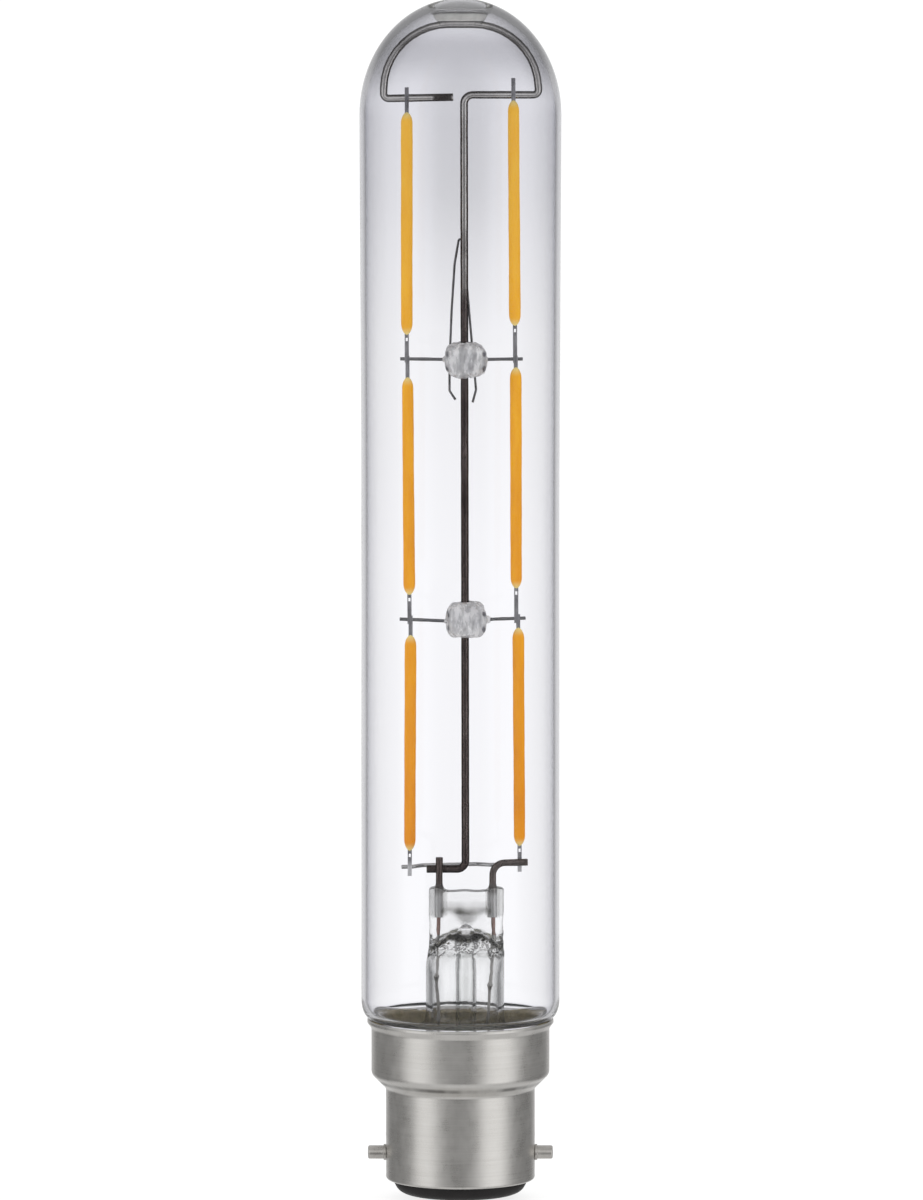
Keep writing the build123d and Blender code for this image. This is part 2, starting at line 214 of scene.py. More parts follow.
def sweep(path, radius, segs=20, chamfer=0.08, first=(0.0, 1.0, 0.0)):
    """Points and faces of a wire. radius is a number, or gives two half widths at each distance along it."""
    p = np.asarray(path, float)
    along = np.concatenate([[0], np.cumsum(np.linalg.norm(np.diff(p, axis=0), axis=1))])
    total = along[-1]
    t = np.gradient(p, axis=0)
    t /= np.linalg.norm(t, axis=1)[:, None]
    n = np.array(first, float)
    normals = []
    for i in range(len(p)):
        n = n - t[i] * (n @ t[i])
        n = n / np.linalg.norm(n)
        normals.append(n.copy())
    angle = np.arange(segs) * 2 * math.pi / segs
    c, s = np.cos(angle)[:, None], np.sin(angle)[:, None]

    def ring(i, scale, back):
        a, b = radius(along[i], total) if callable(radius) else (radius, radius)
        side = np.cross(t[i], normals[i])
        return p[i] + t[i] * back + scale * (c * normals[i] * a + s * side * b)

    rows = []
    ends = [(0.55, 0.0), (0.86, 0.0), (0.97, chamfer * 0.35), (1.0, chamfer)]
    for scale, inset in ends:
        rows.append(ring(0, scale, inset))
    for i in range(1, len(p) - 1):
        if along[i] > chamfer * 1.3 and total - along[i] > chamfer * 1.3:
            rows.append(ring(i, 1.0, 0.0))
    for scale, inset in reversed(ends):
        rows.append(ring(len(p) - 1, scale, -inset))
    verts = np.concatenate([[p[0]], *rows, [p[-1]]])
    faces = []
    for k in range(segs):
        j = (k + 1) % segs
        faces.append((0, 1 + k, 1 + j))
        for row in range(len(rows) - 1):
            a = 1 + row * segs
            faces.append((a + k, a + segs + k, a + segs + j, a + j))
        a = 1 + (len(rows) - 1) * segs
        faces.append((a + k, len(verts) - 1, a + j))
    return verts, faces


def wobbly(r, seed, amount=0.02, length=5.0):
    """A drawn wire's radius, which is never quite even."""
    rng = np.random.default_rng(seed)
    ks, ps = rng.uniform(0.5, 2.5, 5) * 2 * math.pi / length, rng.uniform(0, 6.28, 5)

    def at(s, total):
        w = 1 + amount * float(np.sin(ks * s + ps).sum()) / 2.2
        return r * w, r * w

    return at


def iso_surface(field, xs, ys, zs):
    """Points, faces and normals of the surface where field is zero, by surface nets, then settled on the surface."""
    X, Y, Z = np.meshgrid(xs, ys, zs, indexing="ij")
    F = field(X, Y, Z)
    shape = tuple(n - 1 for n in F.shape)
    grid = (np.asarray(xs), np.asarray(ys), np.asarray(zs))
    acc = np.zeros((int(np.prod(shape)), 3))
    cnt = np.zeros(int(np.prod(shape)))
    quads = []
    for axis in range(3):
        s0 = [slice(None)] * 3
        s1 = [slice(None)] * 3
        s0[axis], s1[axis] = slice(0, -1), slice(1, None)
        f0, f1 = F[tuple(s0)], F[tuple(s1)]
        idx = np.nonzero((f0 < 0) != (f1 < 0))
        a, b = f0[idx], f1[idx]
        t = a / (a - b)
        P = np.stack([grid[k][idx[k]] for k in range(3)], 1)
        P[:, axis] += t * (grid[axis][idx[axis] + 1] - grid[axis][idx[axis]])
        u, v = (axis + 1) % 3, (axis + 2) % 3
        cells, good = [], np.ones(len(t), bool)
        for du, dv in ((0, 0), (-1, 0), (-1, -1), (0, -1)):
            c = [idx[0].copy(), idx[1].copy(), idx[2].copy()]
            c[u] = c[u] + du
            c[v] = c[v] + dv
            ok = (c[u] >= 0) & (c[v] >= 0) & (c[u] < shape[u]) & (c[v] < shape[v])
            good &= ok
            flat = np.where(ok, (c[0] * shape[1] + c[1]) * shape[2] + c[2], 0)
            cells.append(flat)
            np.add.at(acc, flat[ok], P[ok])
            np.add.at(cnt, flat[ok], 1)
        q = np.stack(cells, 1)[good]
        flip = (a > b)[good]
        q[flip] = q[flip][:, ::-1]
        quads.append(q)
    quads = np.concatenate(quads)
    used = np.unique(quads)
    number = np.zeros(len(cnt), int)
    number[used] = np.arange(len(used))
    v = acc[used] / np.maximum(cnt[used], 1)[:, None]

    def slope(p):
        e = 0.004
        g = np.stack([
            field(p[:, 0] + e, p[:, 1], p[:, 2]) - field(p[:, 0] - e, p[:, 1], p[:, 2]),
            field(p[:, 0], p[:, 1] + e, p[:, 2]) - field(p[:, 0], p[:, 1] - e, p[:, 2]),
            field(p[:, 0], p[:, 1], p[:, 2] + e) - field(p[:, 0], p[:, 1], p[:, 2] - e)], 1) / (2 * e)
        return g

    for _ in range(3):
        g = slope(v)
        size = np.maximum((g * g).sum(1), 0.05)
        step = g * (field(v[:, 0], v[:, 1], v[:, 2]) / size)[:, None]
        length = np.linalg.norm(step, axis=1)
        step *= np.minimum(1.0, 0.06 / np.maximum(length, 1e-9))[:, None]
        v = v - step
    g = slope(v)
    n = g / np.maximum(np.linalg.norm(g, axis=1), 1e-9)[:, None]
    return v, number[quads], n


def steps(*spans):
    """Grid lines: steps((start, size), ..., end)."""
    out = []
    for (a, size), nxt in zip(spans[:-1], spans[1:]):
        b = nxt[0] if isinstance(nxt, tuple) else nxt
        out.extend(np.linspace(a, b, max(2, int(round((b - a) / size)) + 1))[:-1].tolist())
    out.append(spans[-1])
    return np.array(out)


# ------------------------------------------------------------------ materials
class Nodes:
    """A short way to write a material's nodes."""

    def __init__(self, name):
        self.material = bpy.data.materials.new(name)
        self.material.use_nodes = True
        self.tree = self.material.node_tree
        self.tree.nodes.clear()
        self.out = self.tree.nodes.new("ShaderNodeOutputMaterial")
        self.bsdf = self.tree.nodes.new("ShaderNodeBsdfPrincipled")
        self.link(self.bsdf.outputs[0], self.out.inputs["Surface"])
        self.where = self.tree.nodes.new("ShaderNodeTexCoord").outputs["Object"]

    def link(self, a, b):
        self.tree.links.new(a, b)

    def stretched(self, scale, shift=(0, 0, 0)):
        node = self.tree.nodes.new("ShaderNodeMapping")
        node.inputs["Scale"].default_value = scale
        node.inputs["Location"].default_value = shift
        self.link(self.where, node.inputs["Vector"])
        return node.outputs["Vector"]

    def noise(self, scale, size=1.0, detail=3.0, rough=0.5, shift=(0, 0, 0)):
        node = self.tree.nodes.new("ShaderNodeTexNoise")
        node.inputs["Scale"].default_value = size
        node.inputs["Detail"].default_value = detail
        node.inputs["Roughness"].default_value = rough
        self.link(self.stretched(scale, shift), node.inputs["Vector"])
        return node.outputs["Fac"]

    def cells(self, scale, size=1.0, feature="F1"):
        node = self.tree.nodes.new("ShaderNodeTexVoronoi")
        node.feature = feature
        node.inputs["Scale"].default_value = size
        self.link(self.stretched(scale), node.inputs["Vector"])
        return node.outputs["Distance"]

    def ramp(self, fac, stops, mode="LINEAR"):
        node = self.tree.nodes.new("ShaderNodeValToRGB")
        node.color_ramp.interpolation = mode
        while len(node.color_ramp.elements) > len(stops):
            node.color_ramp.elements.remove(node.color_ramp.elements[-1])
        while len(node.color_ramp.elements) < len(stops):
            node.color_ramp.elements.new(1.0)
        for e, (pos, col) in zip(node.color_ramp.elements, stops):
            e.position = pos
            e.color = (*col, 1.0) if hasattr(col, "__len__") else (col, col, col, 1.0)
        self.link(fac, node.inputs["Fac"])
        return node.outputs["Color"]

    def span(self, fac, low, high, a=0.0, b=1.0):
        node = self.tree.nodes.new("ShaderNodeMapRange")
        node.inputs["From Min"].default_value = a
        node.inputs["From Max"].default_value = b
        node.inputs["To Min"].default_value = low
        node.inputs["To Max"].default_value = high
        self.link(fac, node.inputs["Value"])
        return node.outputs["Result"]

    def math(self, kind, a, b):
        node = self.tree.nodes.new("ShaderNodeMath")
        node.operation = kind
        for socket, value in zip(node.inputs, (a, b)):
            if isinstance(value, (int, float)):
                socket.default_value = value
            else:
                self.link(value, socket)
        return node.outputs[0]

    def mix(self, fac, a, b, kind="MIX"):
        node = self.tree.nodes.new("ShaderNodeMix")
        node.data_type = "RGBA"
        node.blend_type = kind
        for socket, value in zip((node.inputs["Factor"], node.inputs["A"], node.inputs["B"]), (None, None, None)):
            pass
        ins = {s.identifier: s for s in node.inputs}
        for key, value in (("Factor_Float", fac), ("A_Color", a), ("B_Color", b)):
            s = ins[key]
            if isinstance(value, (int, float)):
                s.default_value = value if key == "Factor_Float" else (value, value, value, 1)
            elif hasattr(value, "__len__"):
                s.default_value = (*value, 1.0)
            else:
                self.link(value, s)
        return [o for o in node.outputs if o.identifier == "Result_Color"][0]

    def attribute(self, name):
        node = self.tree.nodes.new("ShaderNodeAttribute")
        node.attribute_name = name
        return node.outputs["Fac"]

    def bump(self, height, strength, distance, under=None):
        node = self.tree.nodes.new("ShaderNodeBump")
        node.inputs["Strength"].default_value = strength
        node.inputs["Distance"].default_value = distance
        self.link(height, node.inputs["Height"])
        if under is not None:
            self.link(under, node.inputs["Normal"])
        return node.outputs["Normal"]

    def set(self, **values):
        for key, value in values.items():
            socket = self.bsdf.inputs[key.replace("_", " ")]
            if isinstance(value, (int, float)):
                socket.default_value = value
            elif isinstance(value, tuple):
                socket.default_value = (*value, 1.0) if len(value) == 3 else value
            else:
                self.link(value, socket)
        return self


def edge_tint(n, stops, blend=0.5):
    """How much light glass passes at each slant: its edges look darker, because more light is lost there."""
    layer = n.tree.nodes.new("ShaderNodeLayerWeight")
    layer.inputs["Blend"].default_value = blend
    return n.ramp(layer.outputs["Facing"], stops)


def clear_glass():
    n = Nodes("clear_glass")
    sep = n.tree.nodes.new("ShaderNodeSeparateXYZ")
    n.link(n.where, sep.inputs[0])
    up = sep.outputs[2]
    # the blown dome is thicker than the drawn tube, and its edges darken more steeply: partly its thicker glass, partly
    # painted shade. The body is painted greyer with height, darkest in a band across the dome
    side = edge_tint(n, [(0.44, 1.0), (0.56, (0.988, 0.988, 0.994)), (0.65, (0.930, 0.930, 0.955)), (0.745, (0.80, 0.80, 0.84)),
                         (0.845, (0.54, 0.54, 0.58)), (1.0, (0.40, 0.40, 0.43))])
    dome = edge_tint(n, [(0.20, 1.0), (0.32, 1.0), (0.42, 0.86), (0.48, 0.79), (0.60, 0.68), (0.70, 0.65), (0.85, 0.53), (1.0, 0.44)])
    edge = n.mix(n.span(up, 0.0, 1.0, 0.1625, 0.1675), side, dome)
    body = n.ramp(n.span(up, 0.0, 1.0, 0.0, 0.180),
                  [(0.10, (0.980, 0.980, 0.994)), (0.52, (0.976, 0.976, 0.992)), (0.70, (0.945, 0.945, 0.960)),
                   (0.774, (0.924, 0.924, 0.945)), (0.823, (0.897, 0.897, 0.922)), (0.881, (0.878, 0.878, 0.908)),
                   (0.914, (0.868, 0.868, 0.900)), (0.928, (0.800, 0.800, 0.832)), (0.940, (0.735, 0.735, 0.766)),
                   (0.951, (0.722, 0.722, 0.752)), (0.960, (0.805, 0.805, 0.838)), (0.967, (0.850, 0.850, 0.880)),
                   (1.0, (0.850, 0.850, 0.870))])
    # painted shade: from about 130 mm up the glass is greyest where it is met square on, and lighter to both sides
    square_on_shade = edge_tint(n, [(0.0, 0.885), (0.02, 0.895), (0.05, 0.95), (0.107, 1.0), (0.16, 1.0), (0.236, 0.965), (0.34, 0.945),
                           (0.42, 0.90), (0.56, 0.91), (0.66, 0.94), (1.0, 0.94)])
    body = n.mix(1.0, body, n.mix(n.span(up, 0.0, 1.0, 0.128, 0.150), (1.0, 1.0, 1.0), square_on_shade), "MULTIPLY")
    # painted light and shade on the drop's sloping side: a dark line round its upper and lower rims, and light milky
    # grey glass between, in place of the bright reflection there
    closed = n.attribute("shade")
    milk = n.ramp(n.noise((700, 700, 250), 1.0, 3.0), [(0.3, (0.62, 0.62, 0.57)), (0.7, (0.86, 0.86, 0.80))])
    milk = n.mix(n.ramp(closed, [(0.50, 0.0), (0.80, 1.0)]), (0.05, 0.05, 0.046), milk)
    n.set(IOR=1.50, Base_Color=n.mix(n.ramp(closed, [(0.10, 0.0), (0.40, 1.0)]), n.mix(1.0, body, edge, "MULTIPLY"), milk))
    n.set(Transmission_Weight=n.span(closed, 1.0, 0.15), Specular_Tint=(0.3, 0.3, 0.3))
    draw = n.noise((380, 380, 9), 1.0, 2.0)
    seed = n.noise((60, 60, 40), 1.0, 1.0)
    n.set(Roughness=n.span(seed, 0.0, 0.012, 0.35, 0.75))
    n.set(Normal=n.bump(draw, 0.04, 0.00004, n.bump(seed, 0.05, 0.0004)))
    return n.material


def stem_glass():
    n = Nodes("stem_glass")
    edge = edge_tint(n, [(0.20, 1.0), (0.40, 0.82), (0.60, 0.55), (0.80, 0.30), (1.0, 0.15)])
    swirl = n.noise((900, 900, 500), 1.0, 3.0)
    # painted shade: the dark olive tone that the 'shade' attribute mixes in
    painted_dark = n.ramp(swirl, [(0.35, (0.012, 0.012, 0.008)), (0.65, (0.055, 0.052, 0.034))])
    clear = n.mix(1.0, (0.972, 0.976, 0.972), edge, "MULTIPLY")
    n.set(Transmission_Weight=1.0, IOR=1.53, Base_Color=n.mix(n.ramp(n.attribute("shade"), [(0.0, 0.0), (0.5, 0.60), (0.8, 0.93), (1.0, 1.0)]), clear, painted_dark))
    n.set(Roughness=n.span(swirl, 0.0, 0.05, 0.4, 0.8))
    n.set(Normal=n.bump(swirl, 0.10, 0.00008))
    return n.material


def bead_glass():
    """Fused glass full of fine bubbles: mottled grey-white, darker in spots at its edges."""
    n = Nodes("bead_glass")
    fold = n.noise((1300, 1300, 420), 1.0, 4.0, 0.6)
    big = n.noise((420, 420, 420), 1.0, 2.0, 0.5, (0.3, 0.1, 0.7))
    crack = n.cells((1500, 1500, 900))
    tone = n.math("ADD", n.math("MULTIPLY", fold, 0.55), n.math("MULTIPLY", big, 0.45))
    milk = n.ramp(tone, [(0.34, (0.42, 0.42, 0.43)), (0.44, (0.54, 0.54, 0.55)), (0.56, (0.66, 0.66, 0.66)), (0.68, (0.86, 0.86, 0.85))])
    n.set(IOR=1.52, Base_Color=n.mix(n.attribute("shade"), milk, (0.07, 0.07, 0.085)))
    n.set(Transmission_Weight=n.span(fold, 0.46, 0.12, 0.38, 0.62))
    n.set(Roughness=n.span(fold, 0.16, 0.40, 0.35, 0.75))
    n.set(Normal=n.bump(crack, 0.18, 0.00008, n.bump(fold, 0.30, 0.00012)))
    return n.material


def turned_metal(name, low, high, rough=(0.24, 0.36), line=26000, lead=90, strength=0.10, aniso=0.45, blotch=500):
    """Nickel plate over turned lines that run round the axis."""
    n = Nodes(name)
    lines = n.noise((lead, lead, line), 1.0, 3.0, 0.6)
    coarse = n.noise((lead * 0.5, lead * 0.5, line * 0.16), 1.0, 2.0, 0.5, (3, 1, 7))
    cloud = n.noise((blotch, blotch, blotch * 0.7), 1.0, 4.0, 0.55)
    tone = n.math("ADD", n.math("MULTIPLY", lines, 0.30), n.math("ADD", n.math("MULTIPLY", coarse, 0.25), n.math("MULTIPLY", cloud, 0.45)))
    # painted shade in the crease of the shoulder: a darker ring, broken up by noise
    sep = n.tree.nodes.new("ShaderNodeSeparateXYZ")
    n.link(n.where, sep.inputs[0])
    crease = n.ramp(n.span(sep.outputs[2], 0.0, 1.0, 0.0, 0.030), [(0.575, 0.0), (0.586, 0.62), (0.594, 0.62), (0.606, 0.0)])
    crease_shade = n.math("MULTIPLY", crease, n.span(n.noise((170, 170, 60), 1.0, 3.0, 0.6, (2, 5, 1)), 0.35, 1.25, 0.40, 0.62))
    n.set(Metallic=1.0, Base_Color=n.mix(crease_shade, n.ramp(tone, [(0.32, low), (0.68, high)]), (0.10, 0.095, 0.088)))
    n.set(Roughness=n.span(n.math("ADD", n.math("MULTIPLY", lines, 0.5), n.math("MULTIPLY", cloud, 0.5)), rough[0], rough[1], 0.3, 0.7))
    n.set(Normal=n.bump(coarse, strength * 0.8, 0.00006, n.bump(lines, strength, 0.00003)))
    if aniso:
        tangent = n.tree.nodes.new("ShaderNodeTangent")
        tangent.direction_type = "RADIAL"
        tangent.axis = "Z"
        n.link(tangent.outputs[0], n.bsdf.inputs["Tangent"])
        n.set(Anisotropic=aniso)
    return n.material


def wire_metal(name, stops, rough=(0.28, 0.5), size=900, long=(1.0, 1.0, 0.25), strength=0.25, metallic=1.0):
    """Drawn or oxidised wire: blotches, and fine lines of the die."""
    n = Nodes(name)
    blotch = n.noise((size * long[0], size * long[1], size * long[2]), 1.0, 5.0, 0.62)
    fine = n.noise((size * 6, size * 6, size * 0.9), 1.0, 3.0, 0.6)
    n.set(Metallic=metallic, Base_Color=n.ramp(n.math("ADD", n.math("MULTIPLY", blotch, 0.75), n.math("MULTIPLY", fine, 0.25)), stops))
    n.set(Roughness=n.span(blotch, rough[0], rough[1], 0.3, 0.7))
    n.set(Normal=n.bump(fine, strength, 0.00003, n.bump(blotch, strength, 0.00004)))
    return n.material


def aged_wire(name, heights, size=700, painted_side_shade=False):
    """Nickel-iron wire whose oxide changes along it: heights gives (metres, darkest tone, lightest tone, roughness)."""
    n = Nodes(name)
    sep = n.tree.nodes.new("ShaderNodeSeparateXYZ")
    n.link(n.where, sep.inputs[0])
    blotch = n.noise((size, size, size * 0.22), 1.0, 5.0, 0.62)
    fine = n.noise((size * 6, size * 6, size * 0.9), 1.0, 3.0, 0.6)
    tone = n.math("ADD", n.math("MULTIPLY", blotch, 0.75), n.math("MULTIPLY", fine, 0.25))
    colour = gloss = None
    for (h0, h1), dark, light, rough in heights:
        here = n.ramp(tone, [(0.32, dark), (0.68, light)])
        polish = n.span(blotch, rough[0], rough[1], 0.3, 0.7)
        if colour is None:
            colour, gloss = here, polish
        else:
            wander = n.math("ADD", sep.outputs[2], n.math("MULTIPLY", n.math("SUBTRACT", blotch, 0.5), (h1 - h0) * 1.2))
            share = n.span(wander, 0.0, 1.0, h0, h1)
            colour, gloss = n.mix(share, colour, here), n.mix(share, gloss, polish)
    # painted shade: where the 'shade' attribute is low, the wire's sides are darkened
    if painted_side_shade:
        colour = n.mix(n.ramp(n.attribute("shade"), [(0.0, 0.0), (0.78, 0.06), (0.94, 1.0)]), (0.045, 0.036, 0.034), colour)
    n.set(Metallic=1.0, Base_Color=colour, Roughness=gloss)
    n.set(Normal=n.bump(fine, 0.2, 0.00003, n.bump(blotch, 0.2, 0.00004)))
    return n.material


def rough_solid(name, stops, rough=(0.5, 0.7), size=900, detail=5.0, strength=0.3, distance=0.00006, grain=5000, **more):
    """Moulded, cast or fired stuff: a cloudy tone and a grain."""
    n = Nodes(name)
    cloud = n.noise((size,) * 3, 1.0, detail, 0.6)
    speck = n.noise((grain,) * 3, 1.0, 2.0, 0.6)
    n.set(Base_Color=n.ramp(n.math("ADD", n.math("MULTIPLY", cloud, 0.65), n.math("MULTIPLY", speck, 0.35)), stops))
    n.set(Roughness=n.span(cloud, rough[0], rough[1], 0.3, 0.7))
    n.set(Normal=n.bump(speck, strength, distance, n.bump(cloud, strength, distance * 2)))
    n.set(**more)
    return n.material


def phosphor():
    """Silicone with yellow phosphor, thin and pale at the ends."""
    n = Nodes("phosphor_coat")
    cloud = n.noise((700, 700, 160), 1.0, 4.0, 0.55)
    speck = n.noise((6500,) * 3, 1.0, 2.0, 0.6)
    tone = n.math("ADD", n.math("MULTIPLY", cloud, 0.7), n.math("MULTIPLY", speck, 0.3))
    foot = n.ramp(tone, [(0.30, (0.66, 0.215, 0.0)), (0.55, (0.74, 0.270, 0.0)), (0.75, (0.80, 0.330, 0.001))])
    head = n.ramp(tone, [(0.30, (0.76, 0.315, 0.001)), (0.55, (0.83, 0.385, 0.003)), (0.75, (0.88, 0.455, 0.010))])
    top = n.ramp(tone, [(0.30, (0.95, 0.480, 0.028)), (0.55, (0.97, 0.545, 0.044)), (0.75, (0.98, 0.605, 0.070))])
    # painted light: each coat is lighter towards its head, and the upper pair lighter still, from the 'along' attribute
    along = n.attribute("along")
    body = n.mix(n.span(along, 0.0, 1.0, 1.0, 2.0), n.mix(n.span(along, 0.0, 1.0, 0.0, 1.0), foot, head), top)
    pale = n.ramp(speck, [(0.3, (0.72, 0.60, 0.20)), (0.7, (0.82, 0.72, 0.34))])
    n.set(Base_Color=n.mix(n.attribute("shade"), body, pale))
    n.set(Roughness=n.span(cloud, 0.38, 0.55, 0.3, 0.7))
    n.set(Specular_IOR_Level=0.06)
    n.set(Normal=n.bump(speck, 0.20, 0.00003, n.bump(cloud, 0.25, 0.00008)))
    return n.material


GLASS = clear_glass()
STEM = stem_glass()
BEAD = bead_glass()
NICKEL = turned_metal("nickel_cap", (0.58, 0.565, 0.54), (0.73, 0.715, 0.69))
PIN = wire_metal("pin_metal", [(0.3, (0.42, 0.40, 0.375)), (0.7, (0.66, 0.64, 0.61))], (0.22, 0.38), 500, (1, 1, 1), 0.15)
BLACK = rough_solid("black_insulator", [(0.3, (0.007, 0.006, 0.006)), (0.7, (0.018, 0.016, 0.016))], (0.42, 0.60), 500, Specular_IOR_Level=0.22)
BRASS = wire_metal("contact_brass", [(0.3, (0.48, 0.33, 0.13)), (0.7, (0.72, 0.56, 0.28))], (0.25, 0.45), 700, (1, 1, 1))
SOLDER = wire_metal("solder", [(0.3, (0.38, 0.38, 0.38)), (0.7, (0.62, 0.62, 0.62))], (0.30, 0.55), 900, (1, 1, 1), 0.4)
CEMENT = rough_solid("cement", [(0.32, (0.125, 0.100, 0.045)), (0.5, (0.215, 0.180, 0.095)), (0.7, (0.36, 0.31, 0.20))], (0.6, 0.85), 700, 6.0, 0.7, 0.0002)
DARK = wire_metal("dark_steel_wire", [(0.30, (0.050, 0.040, 0.038)), (0.52, (0.095, 0.080, 0.076)), (0.72, (0.20, 0.175, 0.16))], (0.25, 0.50), 700)
ROD = aged_wire("support_rod_wire", [((0, 0), (0.045, 0.034, 0.033), (0.15, 0.125, 0.118), (0.16, 0.30)),
                                     ((0.134, 0.146), (0.66, 0.64, 0.61), (0.88, 0.86, 0.82), (0.08, 0.18))], 700, True)
LEAD = aged_wire("lead_wire", [((0, 0), (0.78, 0.78, 0.79), (0.95, 0.95, 0.95), (0.35, 0.55)),
                               ((0.0452, 0.0466), (0.050, 0.038, 0.036), (0.17, 0.14, 0.13), (0.22, 0.40))])
BRIGHT = wire_metal("bright_wire", [(0.3, (0.11, 0.11, 0.115)), (0.7, (0.28, 0.28, 0.29))], (0.22, 0.42), 900, (0.25, 1, 1))
COPPER = wire_metal("copper_red", [(0.3, (0.25, 0.155, 0.135)), (0.7, (0.42, 0.29, 0.26))], (0.3, 0.5), 1200)
TINNED = wire_metal("tinned_copper", [(0.3, (0.22, 0.215, 0.21)), (0.7, (0.50, 0.48, 0.46))], (0.25, 0.45), 1200)
PHOSPHOR = phosphor()
CERAMIC = rough_solid("ceramic_strip", [(0.3, (0.72, 0.72, 0.70)), (0.7, (0.84, 0.84, 0.82))], (0.5, 0.7), 1500)
TAB = aged_wire("tab_steel", [((0, 0), (0.70, 0.70, 0.71), (0.92, 0.92, 0.93), (0.30, 0.50)),
                              ((0.0494, 0.0504), (0.22, 0.215, 0.23), (0.50, 0.50, 0.52), (0.22, 0.45))], 1400)
JUMPER = wire_metal("jumper_wire", [(0.3, (0.34, 0.34, 0.35)), (0.7, (0.66, 0.66, 0.66))], (0.25, 0.45), 900, (0.25, 1, 1))
CHIP = rough_solid("chip_blue", [(0.3, (0.10, 0.13, 0.30)), (0.7, (0.22, 0.27, 0.48))], (0.15, 0.3), 2500)
BOARD = rough_solid("board_laminate", [(0.3, (0.62, 0.63, 0.54)), (0.7, (0.78, 0.79, 0.70))], (0.5, 0.7), 600, 4.0, 0.4)
EPOXY = rough_solid("black_epoxy", [(0.3, (0.012, 0.012, 0.012)), (0.7, (0.035, 0.035, 0.036))], (0.45, 0.65), 1200)
CAN = wire_metal("capacitor_can", [(0.3, (0.03, 0.03, 0.034)), (0.7, (0.07, 0.07, 0.08))], (0.3, 0.45), 600, (1, 1, 1), 0.1, 0.0)
FERRITE = rough_solid("ferrite", [(0.3, (0.05, 0.05, 0.05)), (0.7, (0.13, 0.125, 0.12))], (0.5, 0.8), 900)
GREEN = rough_solid("resistor_green", [(0.3, (0.16, 0.24, 0.15)), (0.7, (0.28, 0.37, 0.25))], (0.35, 0.5), 700)

# ------------------------------------------------------------------ carried-over frame nodes
KEPT = {
    "insulator": BLACK, "contact_front": BRASS, "contact_back": BRASS, "driver_board": BOARD,
    "bridge_rectifier": EPOXY, "driver_chip": EPOXY, "capacitor": CAN, "inductor": FERRITE,
    "fusible_resistor": GREEN, "supply_wire_front": TINNED, "supply_wire_back": TINNED,
}
for place in ("upper_left", "upper_right", "middle_left", "middle_right", "lower_left", "lower_right"):
    KEPT["substrate_" + place] = CERAMIC
    KEPT["chips_" + place] = CHIP
for node, material in KEPT.items():
    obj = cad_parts[node]
    if not obj.material_slots:
        obj.data.materials.append(material)
    for s in obj.material_slots:
        s.material = material


# ------------------------------------------------------------------ glass tube
def ellipse(c, a, b, start, n):
    t = np.radians(start + 90.0 * np.arange(n + 1) / n)
    return np.stack([c[0] + a * np.cos(t), c[1] + b * np.sin(t)], 1)


def three_point_arc(p, q, r, n):
    p, q, r = (np.array(v, float) for v in (p, q, r))
    d = 2 * (p[0] * (q[1] - r[1]) + q[0] * (r[1] - p[1]) + r[0] * (p[1] - q[1]))
    ux = ((p @ p) * (q[1] - r[1]) + (q @ q) * (r[1] - p[1]) + (r @ r) * (p[1] - q[1])) / d
    uy = ((p @ p) * (r[0] - q[0]) + (q @ q) * (p[0] - r[0]) + (r @ r) * (q[0] - p[0])) / d
    c = np.array([ux, uy])
    a0, a1 = math.atan2(*(p - c)[::-1]), math.atan2(*(r - c)[::-1])
    am = math.atan2(*(q - c)[::-1])
    while a1 - a0 > math.pi:
        a1 -= 2 * math.pi
    while a1 - a0 < -math.pi:
        a1 += 2 * math.pi
    rad = np.linalg.norm(p - c)
    t = np.linspace(a0, a1, n + 1)
    return np.stack([c[0] + rad * np.cos(t), c[1] + rad * np.sin(t)], 1)


WALL = 0.80
DROP, DROP_R = 1.60, 3.85      # the dome's glass is thicker in its middle, where the tube was closed


def tube_side(t, top_wall):
    """The side of the tube from neck to apex, moved in by t."""
    neck0, neck1 = (11.7 - t, 19.0), (12.05 - t, 25.5 + t * 0.6)
    mid, end = (12.40 - t * 0.9, 26.50 + t * 0.75), (13.20 - t * 0.45, 26.95 + t)
    foot = (14.63 - t, 29.8 + t * 0.25)
    parts = [np.linspace(neck0, neck1, 10)[:-1], three_point_arc(neck1, mid, end, 14)[:-1]]
    h = ellipse((end[0], foot[1]), foot[0] - end[0], foot[1] - end[1], 270, 16)
    parts.append(h[:-1])
    parts.append(np.linspace(foot, (14.57 - t, 105.0), 14)[:-1])
    parts.append(np.linspace((14.57 - t, 105.0), (14.81 - t, 160.5), 10)[:-1])
    dome = ellipse((0, 160.5), 14.81 - t, 17.03 - top_wall, 0, 150)
    if t > 0:
        rise = np.clip((DROP_R + 0.55 - dome[:, 0]) / 1.1, 0, 1)
        dome[:, 1] -= DROP * rise * rise * (3 - 2 * rise)
    parts.append(dome)
    out = np.concatenate(parts)
    out[-1, 0] = 0.0
    return out


outer, inner = tube_side(0.0, 0.0), tube_side(WALL, 1.15)
lip = rounded([inner[0] + (0, 0.3), inner[0], outer[0], outer[0] + (0, 0.3)], [0.25, 0.25], 6)
profile = np.concatenate([inner[::-1][:-1], lip, outer[1:]])
v, f = lathe(profile, 192)
v = np.array(v)
r = np.hypot(v[:, 0], v[:, 1])
# painted light and shade for the drop's sloping side: rising from its upper rim, fading out towards its bottom
ceiling = 160.5 + (17.03 - 1.15) * np.sqrt(np.clip(1 - (r / (14.81 - WALL)) ** 2, 0, 1))
shade = np.clip((ceiling - v[:, 2] - 0.06) / 0.60, 0, 1) * (r < DROP_R + 0.6) * (v[:, 2] > 173.0) * np.clip((r - 2.95) / 0.45, 0, 1)
envelope = put("bulb_glass_tube", v, f, GLASS, ("glass_envelope",), outward=True, attribute=shade)

